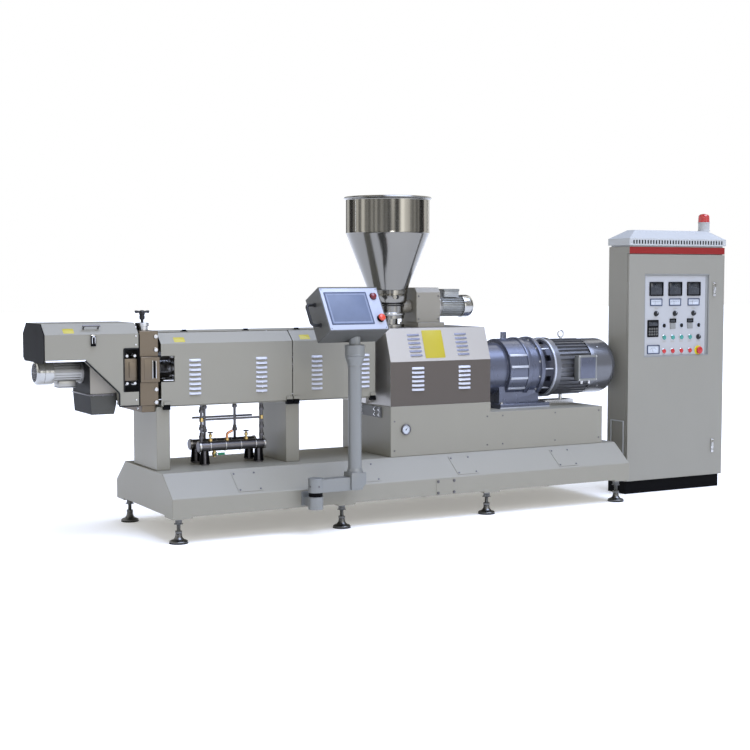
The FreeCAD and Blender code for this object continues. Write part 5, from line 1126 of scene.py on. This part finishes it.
# %% Gearbox details
boss = block((2788, -9, DRIVE_Z + 222), (2940, 9, DRIVE_Z + 234), 3, 2.5)
boss = boss + lathe([(9, 2790), (9, 2938)], (0, 0, DRIVE_Z + 224), "+X", 20, 2)
bosses = around_axis(boss, (62, 84, 106, 128, 232, 254, 276, 298), DRIVE_Z)
piece("gearbox_bosses", bosses, boss_silver)
web = block((2604, -7, DRIVE_Z + 100), (2784, 7, DRIVE_Z + 190), 4, 3)
nose = [(60, 2556), (104, 2556), (110, 2566), (150, 2590), (196, 2600), (196, 2606)]
webs = around_axis(web, range(15, 360, 30), DRIVE_Z) + axial(nose, DRIVE_Z, 64, 4)
piece("gearbox_webs", webs, gear_enamel)
rear = [(222, 3058), (236, 3060), (237, 3066), (237, 3086), (235, 3092), (222, 3094)]
front = [(222, 2940), (233, 2942), (234, 2948), (234, 2974), (222, 2978)]
rings = axial(rear, DRIVE_Z, 96, 1.5, True) + axial(front, DRIVE_Z, 96, 1.5, True)
piece("gearbox_rings", rings, gear_enamel)
bolts = rows_of(hex_bolt(19, 10, "-X"), circle_of(3058, 214, DRIVE_Z, np.arange(12) * 30 + 15))
foot_bolts = rows_of(hex_bolt(26, 14, "+Z"), [(x, y, 752) for x in (2722, 3124) for y in (-190, 190)])
piece("gearbox_bolts", bolts + foot_bolts, zinc_and_highlight)
base_edge = block((2699, -214, 717.5), (3148, -211, 728), 1, 0.8)
piece("gearbox_foot_edge", base_edge.mirrored(), boss_silver)
print("gearbox", [np.round(corner).tolist() for corner in extent("gearbox")])

# %% [markdown]
# Between gearbox and motor sits a bell with windows, closed by a bright machined ring.

# %% Bell ring and motor flange
bright = [(206, 3189), (227.5, 3189), (228, 3193), (228, 3203), (226, 3206), (206, 3206)]
piece("motor_flange_ring", axial(bright, DRIVE_Z, 96, 1.2, True), boss_silver)
bolts = rows_of(hex_bolt(20, 10, "+X"), circle_of(3246, 212, DRIVE_Z, np.arange(8) * 45))
piece("motor_flange_bolts", bolts, zinc_and_highlight)
rib = block((3098, -5, DRIVE_Z + 178), (3186, 5, DRIVE_Z + 212), 3, 2)
piece("bell_ribs", around_axis(rib, range(0, 360, 45), DRIVE_Z), boss_silver)
# Painted shade: black bars at the cowl's rim stand for the shaded gaps where the fins run under it.
piece("motor_fin_end_shade", fins(60, 196, 211, 3551, 10, 7, DRIVE_Z), black_plastic)
print("main motor", [np.round(corner).tolist() for corner in extent("main_motor")])

# %% [markdown]
# The fan cowl is deep drawn, so its end is a smooth quarter of an ellipse, with an air grille
# in the middle. Its profile is radius = 122 + 90 cos t and distance = 3724 + 86 sin t. The
# terminal box is a cast frame and lid with a raised pane, and two cable glands point down.

# %% Main motor cowl and terminal box
t = np.radians(np.linspace(0, 90, 9))
dome = np.column_stack([122 + 90 * np.cos(t), 3724 + 86 * np.sin(t)])
profile = np.vstack([[(196, 3556), (212, 3553), (212, 3600)], dome, [(110, 3808)]])
cowl = axial(profile, DRIVE_Z, 96, 2)
piece("motor_cowl_drawn", cowl, cowl_enamel, stands_for=["motor_cowl"])
# Painted shade: a black disc fills the cowl's air opening, for the shade behind the grille.
piece("motor_cowl_opening_shade", axial([(112, 3806), (112, 3809.5)], DRIVE_Z, 64, 1), satin_black_and_shade)
cage = grille(116, DRIVE_Z, 8).scaled([0.8, 1, 1])
piece("motor_cowl_grille", cage.moved([3811, 0, 0]), cast_silver)
turns = (45, 135, 225, 315)
outward = [(0, math.cos(a), math.sin(a)) for a in np.radians(turns)]
places = circle_of(3640, 211, DRIVE_Z, turns)
knobs = together([cap_screw(7, 4, out, 16).moved(place) for out, place in zip(outward, places)])
piece("motor_cowl_screws", knobs, zinc_and_highlight)
frame_part = block((3370, -262, 911), (3542, -215, 1099), 8, 3)
lid = block((3366, -276, 907), (3546, -262, 1103), 12, 3)
pane = block((3384, -279, 925), (3528, -275, 1085), 8, 2)
gland = lathe([(15, 0), (15, 12), (12, 16), (12, 28)], (0, 0, 0), "-Z", 24)
glands = rows_of(gland, [(3420, -240, 911), (3490, -240, 911)])
screws = rows_of(cap_screw(6, 3, "-Y", 14), [(x, -276, h) for x in (3376, 3536) for h in (917, 1093)])
piece("terminal_box_cast", frame_part + lid, silver_enamel, stands_for=["motor_terminal_box"])
piece("terminal_box_pane", pane, gear_enamel)
piece("terminal_box_glands", glands + screws, zinc_and_highlight)
print("terminal box", [np.round(corner).tolist() for corner in extent("motor_terminal_box")])

# %% [markdown]
# Cooling water runs through two steel headers on the deck. Welded rings, pipe unions, a copper
# elbow, two valves and their brass nuts break up the plain tubes.

# %% Manifold fittings
NEAR_Y, FAR_Y, HEADER_Z = -100, 62, 562  # the two headers


def both_headers(shape, xs):
    """Copies of a shape at each x on both headers."""
    return rows_of(shape, [(x, y, 0) for x in xs for y in (NEAR_Y, FAR_Y)])


ring = lathe([(34, 0), (37, 1), (37, 13), (34, 14)], (0, 0, HEADER_Z), "+X", 40, 1)
saddle = lathe([(36, 0), (36, 5)], (0, 0, HEADER_Z), "+X", 40, 1)
rings = both_headers(ring, (354, 822)) + both_headers(saddle, (430, 540, 650, 760))
piece("header_rings", rings, machined)
elbow = pipe([(560, NEAR_Y, 596), (560, NEAR_Y, 642), (600, NEAR_Y, 660)], 9, 14, up=(0, 1, 0))
piece("header_elbow", elbow, copper)
nut = pressed(polygon(15, 6), 16, (0, 0, 0), "+Z", 1, 2)
nuts = rows_of(nut, [(x, NEAR_Y, 594) for x in (560, 440, 700)])
valve = [(7, 594), (7, 622), (12, 624), (12, 640), (6, 644), (6, 650)]
valve = lathe(valve, (700, NEAR_Y, 0), "+Z", 24, 1)
unions = lathe([(9, 0), (17, 1), (17, 20), (13, 22), (13, 38), (9, 39)], (0, 0, 0), "+Z", 28, 1)
near_risers = [(x, NEAR_Y, z) for x in (376, 814) for z in (616, 672, 790)]
far_risers = [(x, FAR_Y, z) for x in (464, 686) for z in (640, 800)]
piece("riser_unions", rows_of(unions, near_risers + far_risers), dark_steel)
tee = pressed(polygon(15, 6), 26, (0, 0, 729), "+Z", 1, 2)
piece("riser_tees", rows_of(tee, [(376, NEAR_Y, 0), (814, NEAR_Y, 0)]), brass)
gusset = pressed([(-36, 444), (36, 444), (26, 545), (-26, 545)], 12, (0, 6, 0), "-Y", 3, 1)
piece("header_gussets", both_headers(gusset, (398, 792)), satin_black_and_shade)
piece("header_nuts", nuts + valve + valve.moved((-260, 0, 0)), brass)
wheel = [(4, 650), (17, 650), (19, 654), (17, 658), (4, 658)]
wheel = lathe(wheel, (700, NEAR_Y, 0), "+Z", 28, 1.5)
piece("header_knobs", wheel + wheel.moved((-260, 0, 0)), black_plastic)
lever_cap = lathe([(5, 0), (8, 2), (8, 10), (5, 12)], (470, -136, 511), "-Y", 20, 1)
piece("drain_lever_cap", lever_cap, zinc_and_highlight, "lever")
print("headers", [np.round(corner).tolist() for corner in extent("cooling_pipes")])

# %% [markdown]
# The pendant swings on a cast hub. A cap, grub screws and a dark ring, a painted shadow gap, show where it
# turns.
# The pole stands in a chamfered foot block with one slot, and carries the panel on a swivel.

# %% Pendant joints
hub_x, pole_x = 947, 1238
hub, pole = (hub_x, HUB_Y, 0), (pole_x, HUB_Y, 0)
piece("pendant_hub_cap", lathe([(50, 372), (50, 380), (40, 384)], hub, "+Z", 48, 2), silver_enamel, "arm")
# Painted shadow: a dark ring stands for the gap below the swinging arm.
piece("pendant_hub_shadow_gap", lathe([(46, 262), (46, 288)], hub, "+Z", 40, 1), satin_black_and_shade)
grubs = []
for turn in np.radians([200, 270, 340]):
    outward = (math.cos(turn), math.sin(turn), 0)
    grubs.append(cap_screw(6, 3, outward, 16).moved((hub_x + 49 * outward[0], HUB_Y + 49 * outward[1], 330)))
piece("pendant_grub_screws", together(grubs), dark_steel, "arm")
collar = lathe([(44, 1096), (47, 1098), (47, 1112), (44, 1114)], pole, "+Z", 48, 1)
foot = lathe([(52, 404), (52, 412), (46, 430)], pole, "+Z", 48, 2)
foot_outline = [(1184, 291), (1256, 291), (1294, 329), (1294, 404), (1184, 404)]
foot = foot + pressed(foot_outline, 114, (0, HUB_Y + 57, 0), "-Y", 4, 3)
# Painted shade: the slot is a thin black plate that stands for the shade inside it.
slot = pressed(oblong(86, 13), 1.2, (1276.4, HUB_Y, 310.6), (0.707, 0, -0.707), 4, 0.3)
piece("pendant_foot_slot_shade", slot, satin_black_and_shade, "arm")
piece("pendant_pole_collars", collar + foot, silver_enamel, "arm")
swivel = [(62, 1176), (67, 1180), (67, 1186), (64, 1189), (64, 1232), (67, 1235), (67, 1242), (62, 1247)]
piece("panel_swivel_rings", lathe(swivel, pole, "+Z", 56, 1.5), silver_enamel, "panel")
print("pendant pole", np.round(extent("pendant_arm")[1]).tolist())

# %% [markdown]
# The operator panel is a die-cast box with a pale front plate. The screen is plain blue, inside
# a dark bezel with a lighter border. Two buttons are at its right: a dark red one and an orange
# mushroom. A bent grip is screwed to the left side of the box.

# %% Operator panel
yaw, tilt = math.radians(5), math.radians(28.8)
right = np.array([math.cos(yaw), math.sin(yaw), 0])
out = np.array([math.sin(yaw) * math.cos(tilt), -math.cos(yaw) * math.cos(tilt), math.sin(tilt)])
PANEL = np.array([right, np.cross(out, right), out])
panel_middle = np.array([1209, -700, 1486])


def on_panel(across, up, rise):
    """Place on the front plate of the operator panel."""
    return panel_middle + np.array([across, up, rise]) @ PANEL


def framed(width, height, border, depth, place, along, corner=4.0):
    """Flat frame: its outline is carried up, over and down into the opening, as one ring."""
    chamfer = 0.8
    low, top = depth - chamfer, depth
    over = [(0, 0), (0, low), (chamfer, top), (border - chamfer, top), (border, low), (border, 0)]
    rings = []
    for shrink, rise in over:
        outline = oblong(width - 2 * shrink, height - 2 * shrink)
        outline = softened(outline, max(corner - shrink * 0.4, 0.6), closed=True)
        rings.append(np.column_stack([outline, np.full(len(outline), rise)]))
    return skin(np.array(rings) @ facing(along) + np.asarray(place), hollow=True)


grip_path = [(-229, 74, -84), (-297, 74, -84), (-297, -74, -84), (-229, -74, -84)]
grip = pipe([on_panel(*place) for place in grip_path], 10, 26, 16, up=PANEL[2])
bosses = [lathe([(15, 0), (15, 5), (12, 8)], on_panel(-230, up, -84), -PANEL[0], 24) for up in (74, -74)]
piece("panel_grip_bent", grip + together(bosses), black_plastic, "panel", ["panel_grip"])
plate = pressed(oblong(446, 303), 3, on_panel(0, -1, -0.5), PANEL, 5, 1)
piece("panel_front_plate", plate, face_plate, "panel", ["panel_controls"])
piece("panel_gasket", framed(462, 321, 8, 3.5, on_panel(0, 0, -1.5), PANEL, 6), box_dark, "panel")
piece("screen_bezel", framed(330, 238, 10, 4, on_panel(-36, 2, 2), PANEL, 4), frame_blue, "panel")
piece("screen_glass", pressed(oblong(312, 220), 2, on_panel(-36, 2, 2), PANEL, 3, 0.4), screen_blue, "panel")
piece("screen_border", framed(312, 220, 13, 3.2, on_panel(-36, 2, 2), PANEL, 3), screen_edge, "panel")
round_cap = lathe([(23, 0), (23, 8), (20, 12), (19, 17), (12, 19)], (0, 0, 0), out, 32, 1.5)
mushroom = lathe([(14, 0), (14, 16), (25, 20), (26, 27), (20, 33), (8, 35)], (0, 0, 0), out, 36, 3)
piece("panel_red_button", round_cap.moved(on_panel(178, 88, 4)), maroon_cap, "panel")
piece("panel_mushroom", mushroom.moved(on_panel(184, -78, 2)), orange_cap, "panel")
collars = lathe([(26, 0), (26, 3), (20, 5), (20, 9)], (0, 0, 0), out, 36, 0.8)
collars = rows_of(collars, [on_panel(178, 88, 2), on_panel(184, -78, 2)])
piece("panel_button_rings", collars, satin_black_and_shade, "panel")
screws = rows_of(cap_screw(4, 1.5, out, 14), [on_panel(a, b, 2) for a in (-212, 212) for b in (-142, 140)])
piece("panel_screws", screws, dark_steel, "panel")
print("front plate faces", np.round(out, 3).tolist())

# %% [markdown]
# The cabinet's instruments sit on a pale plate in the door's window, in a row of temperature
# meters over a row of displays. They share one frame shape round a glass; each digit is made of
# up to seven bars, as on any such meter.


# %% Instrument makers
BARS = {"0": "abcdef", "1": "bc", "2": "abged", "3": "abgcd", "5": "afgcd", "8": "abcdefg"}
STROKES = {"a": (0, 1, 1), "b": (0.5, 0.5, 0), "c": (0.5, -0.5, 0), "d": (0, -1, 1), "e": (-0.5, -0.5, 0),
           "f": (-0.5, 0.5, 0), "g": (0, 0, 1)}


def number(digits, height, place):
    """Digits of seven bars: flat ones are half a height wide, upright ones stand beside them."""
    bars = []
    for index, digit in enumerate(digits):
        for bar in BARS[digit]:
            x, y, flat = STROKES[bar]
            size = (height * 0.42, height * 0.1) if flat else (height * 0.1, height * 0.4)
            middle = (x * height * 0.5 + (index - (len(digits) - 1) / 2) * height * 0.8, y * height * 0.48)
            bars.append(pressed(oblong(*size), 0.8, (*middle, 0), "+Z", 0.6, 0.2))
    return together(bars).laid("-Y").moved(place)


FACE_Y = -257.0
window_x = 4005.0


def on_door(across, z, rise=0.0):
    """Place on the instrument plate of the door."""
    return np.array([window_x + across, FACE_Y - rise, z])


backing = block((4008, -257.8, 1073), (4662, -256.6, 1717), 3, 0.4)
piece("instrument_plate", backing, plate_pale, "door", ["door_controls"])
# Painted shade: dark strips along the right and top of the window stand for the shade that the recess casts
# on the plate.
shade_right = block((4634, -260, 1074), (4663, -257, 1716), 1, 0.4)
shade_top = block((4008, -262, 1706), (4663, -257, 1717), 1, 0.4)
piece("window_painted_shade", shade_right + shade_top, gasket_grey_and_shade, "door")
piece("window_gasket", framed(660, 650, 7, 10, (4335, -258, 1395), "-Y", 6), gasket_grey_and_shade, "door")
trio, pair = (124, 315, 506), (295.5, 472.5)  # middles of the columns, from window_x


def slab(width, height, depth, corner, edge):
    """Plate that faces the operator, with the middle of its back at the origin."""
    return pressed(oblong(width, height), depth, (0, 0, 0), "-Y", corner, edge)


def frames(width, height, border, depth, corner, places):
    """Frames that face the operator, one at each place."""
    return together([framed(width, height, border, depth, place, "-Y", corner) for place in places])


def on_columns(columns, z, rise=0.0):
    """Places on the instrument plate, in one row over the given columns."""
    return [on_door(across, z, rise) for across in columns]


meters, displays = on_columns(trio, 1602), on_columns(trio, 1498)
small = on_columns(pair, 1352)
meter_frames = frames(138, 110, 9, 8, 6, meters) + frames(64, 32, 5, 7, 3, small)
piece("meter_frames", meter_frames, satin_black_and_shade, "door")
piece("relay_bodies", rows_of(slab(54, 46, 6, 4, 1), on_columns(pair, 1310)), gasket_grey_and_shade, "door")
glasses = rows_of(slab(122, 94, 4, 3, 0.5), meters) + rows_of(slab(56, 24, 3, 3, 0.5), small)
piece("meter_glasses", glasses, meter_glass, "door")
measured, wanted = ("180", "185", "200"), ("180", "180", "200")
for row, height, z, texts in (("high", 24, 1622, measured), ("low", 17, 1586, wanted)):
    readings = [number(text, height, place) for text, place in zip(texts, on_columns(trio, z, 4))]
    piece(f"meter_readings_{row}", together(readings), unlit_digits, "door")
piece("display_frames", frames(122, 58, 8, 6, 3, displays), frame_blue, "door")
piece("display_faces", rows_of(slab(108, 44, 3, 2, 0.4), displays), dial_white, "door")
scale_places = [on_door(x + dx, 1504, 3) for x in trio for dx in range(-40, 41, 10)]
needle_places = [on_door(x - 12, 1496, 3.4) for x in trio]
scales = rows_of(slab(1.8, 12, 0.8, 0.4, 0.2), scale_places)
scales = scales + rows_of(slab(1.6, 30, 0.8, 0.4, 0.2), needle_places)
piece("display_scales", scales, satin_black_and_shade, "door")
print("instrument plate from x", window_x)

# %% [markdown]
# Switches and buttons are turned parts with a rim and a cap. The mushroom stop has a yellow
# ring below it.

# %% Switches and buttons
four = [207 + 88.5 * index for index in range(4)]
knob_places = on_columns(trio, 1409) + [on_door(561, 1220)]
selectors = on_columns((207, 384, 561), 1314)
knob = lathe([(22, 0), (22, 5), (17, 7), (16, 18), (12, 20)], (0, 0, 0), "-Y", 32, 1.5)
pointer = block((-2, -21.5, 2), (2, -19, 15), 0.8, 0.5)
disc = lathe([(22, 0), (22, 3)], (0, 0, 0), "-Y", 36, 0.8)
turn_key = lathe([(16, 3), (16, 6)], (0, 0, 0), "-Y", 32, 1) + block((-5, -17, -15), (5, -5, 15), 3, 2)
rim = lathe([(22, 0), (22, 3), (19, 5)], (0, 0, 0), "-Y", 32, 0.8)
cap = lathe([(18, 0), (18, 10), (15, 13), (6, 14)], (0, 0, 0), "-Y", 32, 2)
for name, shape, places, finish in (
    ("dial_knobs", knob, knob_places, black_plastic),
    ("dial_pointers", pointer, knob_places, dial_white),
    ("selector_discs", disc, selectors, dial_white),
    ("selector_keys", turn_key, selectors, black_plastic),
    ("button_rims", rim, [on_door(x, z) for x in four for z in (1220, 1113)], zinc_and_highlight),
    ("green_buttons", cap, on_columns(four, 1220), green_cap),
    ("red_buttons", cap, on_columns(four, 1113), red_cap),
):
    piece(name, rows_of(shape, places), finish, "door")
stop = lathe([(16, 2), (16, 12), (29, 16), (31, 22), (25, 29), (10, 31)], on_door(561, 1113), "-Y", 44, 3)
piece("stop_mushroom", stop, red_cap, "door")
stop_ring = lathe([(38, 0), (38, 3), (34, 4)], on_door(561, 1113), "-Y", 48, 1)
piece("stop_ring", stop_ring, yellow_ring, "door")
print(len(four), "columns of buttons")

# %% [markdown]
# At the left of the plate stand a load meter with an arc of marks and a keypad with a small
# display. Blank tags show where labels go.

# %% Load meter, keypad and tags
load_meter = on_door(100, 1128)
piece("load_meter_frame", frames(124, 70, 7, 8, 4, [load_meter]), frame_blue, "door")
piece("load_meter_face", slab(112, 58, 3, 3, 0.5).moved(load_meter), dial_white, "door")
hand = pressed(oblong(1.4, 40), 0.6, (0, 20, 0), "+Z", 0.4, 0.2).turned("Z", 22)
arc = marks(9, 34, 40, 1.8, 96) + hand
piece("load_meter_marks", arc.laid("-Y").moved(on_door(100, 1104, 3)), satin_black_and_shade, "door")
piece("keypad_body", slab(110, 134, 6, 5, 1).moved(on_door(94, 1293)), satin_black_and_shade, "door")
piece("keypad_window", slab(90, 34, 1.5, 2, 0.4).moved(on_door(94, 1330, 6)), meter_glass, "door")
piece("keypad_reading", number("500", 18, on_door(94, 1330, 7.4)), unlit_digits, "door")
keys = [on_door(94 + dx, 1293 + dz, 6) for dx in (-36, -12, 12, 36) for dz in (-46, -24, -2)]
piece("keypad_keys", rows_of(slab(18, 16, 3, 3, 0.8), keys), box_grey, "door")
tags = [on_door(x, z) for x in four + [561] for z in (1186, 1079)] + on_columns(trio, 1448)
piece("blank_tags", rows_of(slab(40, 9, 1, 2, 0.3), tags), cast_silver, "door")
print(len(tags), "blank tags,", len(keys), "keys")

# %% [markdown]
# The cabinet closes with two chrome quarter-turn latches. A framed inset marks the foot of each
# side, the eaves of its roof have a row of vents, and its back is one screwed panel.

# %% Cabinet fittings
for index, height in enumerate((1597, 339)):
    lock = [(11, 0), (11, 3), (8, 4), (8, 2.2), (3, 2)]
    lock = lathe(lock, (4716, -277.6, height - 30), "-Y", 28, 0.6)
    piece(f"latch_lock_{index}", lock, chrome, "door")
    paddle = block((4707, -283, height - 8), (4725, -276, height + 46), 4, 2.5)
    piece(f"latch_paddle_{index}", paddle, chrome, "door")
cabinet_low, cabinet_high = extent("cabinet_body")
side_y, back_y = (cabinet_low[1] + cabinet_high[1]) / 2, cabinet_high[1]
side_width = cabinet_high[1] - cabinet_low[1] - 90
# Painted highlight: the frames are paler than the side sheet they are pressed from, for the light on their
# raised rims.
inset_panel = framed(396, side_width, 9, 6, (3850, side_y, 378), "-X", 6)
inset_panel = inset_panel + framed(side_width, 396, 9, 6, (4822, side_y, 378), "+X", 6)
piece("cabinet_side_frames", inset_panel, roof_powder_and_highlight)
roof_low, roof_high = extent("cabinet_roof")
# Painted shade: each vent in the eave is backed by a dark block that stands for the shade inside the slot.
gap = block((-6.6, 2, 1952.5), (6.6, 11.5, 1981.5), 1, 0.5)
gaps = [((roof_low[0] + roof_high[0]) / 2 + 28 * index, roof_low[1], 0) for index in range(-16, 17)]
piece("cabinet_eave_vent_shade", rows_of(gap, gaps), satin_black_and_shade)
back = block((3900, back_y - 1, 160), (4772, back_y + 2, 1880), 6, 1)
back_screws = [(x, back_y + 2, z) for x in (3930, 4336, 4742) for z in (190, 1020, 1850)]
piece("cabinet_back_panel", back, cabinet_powder)
piece("cabinet_back_screws", rows_of(cap_screw(7, 3, "+Y", 16), back_screws), zinc_and_highlight)
print("cabinet", [np.round(corner).tolist() for corner in extent("cabinet_body")])

# %% [markdown]
# The beacon on the roof is a ribbed red lens over a pale base. The ribs are a wave on the
# lens profile, which is what scatters the lamp's light.

# %% Beacon
low, high = extent("beacon")
beacon_x, beacon_y = (low[0] + high[0]) / 2, (low[1] + high[1]) / 2
height = np.linspace(2136, 2184, 13)
ribs = np.column_stack([46 - 0.06 * (height - 2136) + 1.1 * (np.arange(13) % 2), height])
lens = np.vstack([[(30, 2133)], ribs, [(38, 2194), (25, 2201), (8, 2203)]])
piece("beacon_lens", lathe(lens, (beacon_x, beacon_y, 0), "+Z", 56, 1), beacon_lens, stands_for=["beacon"])
foot = [(50, 2062), (50, 2068), (45, 2071), (45, 2126), (49, 2129), (49, 2134), (40, 2136)]
piece("beacon_foot", lathe(foot, (beacon_x, beacon_y, 0), "+Z", 56, 1.2), roof_powder_and_highlight)
print("beacon at", round(beacon_x), round(beacon_y))

# %% [markdown]
# Last, both boxes are printed: that of the frame, and that of the dressed machine, which should stay the size
# of its frame.

# %% Finish
visual_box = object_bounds()
[[list(corner) for corner in box] for box in (cad_box, visual_box)]
print("CAD box", [np.round(corner, 3).tolist() for corner in cad_box])
print("visual box", [np.round(corner, 3).tolist() for corner in visual_box])
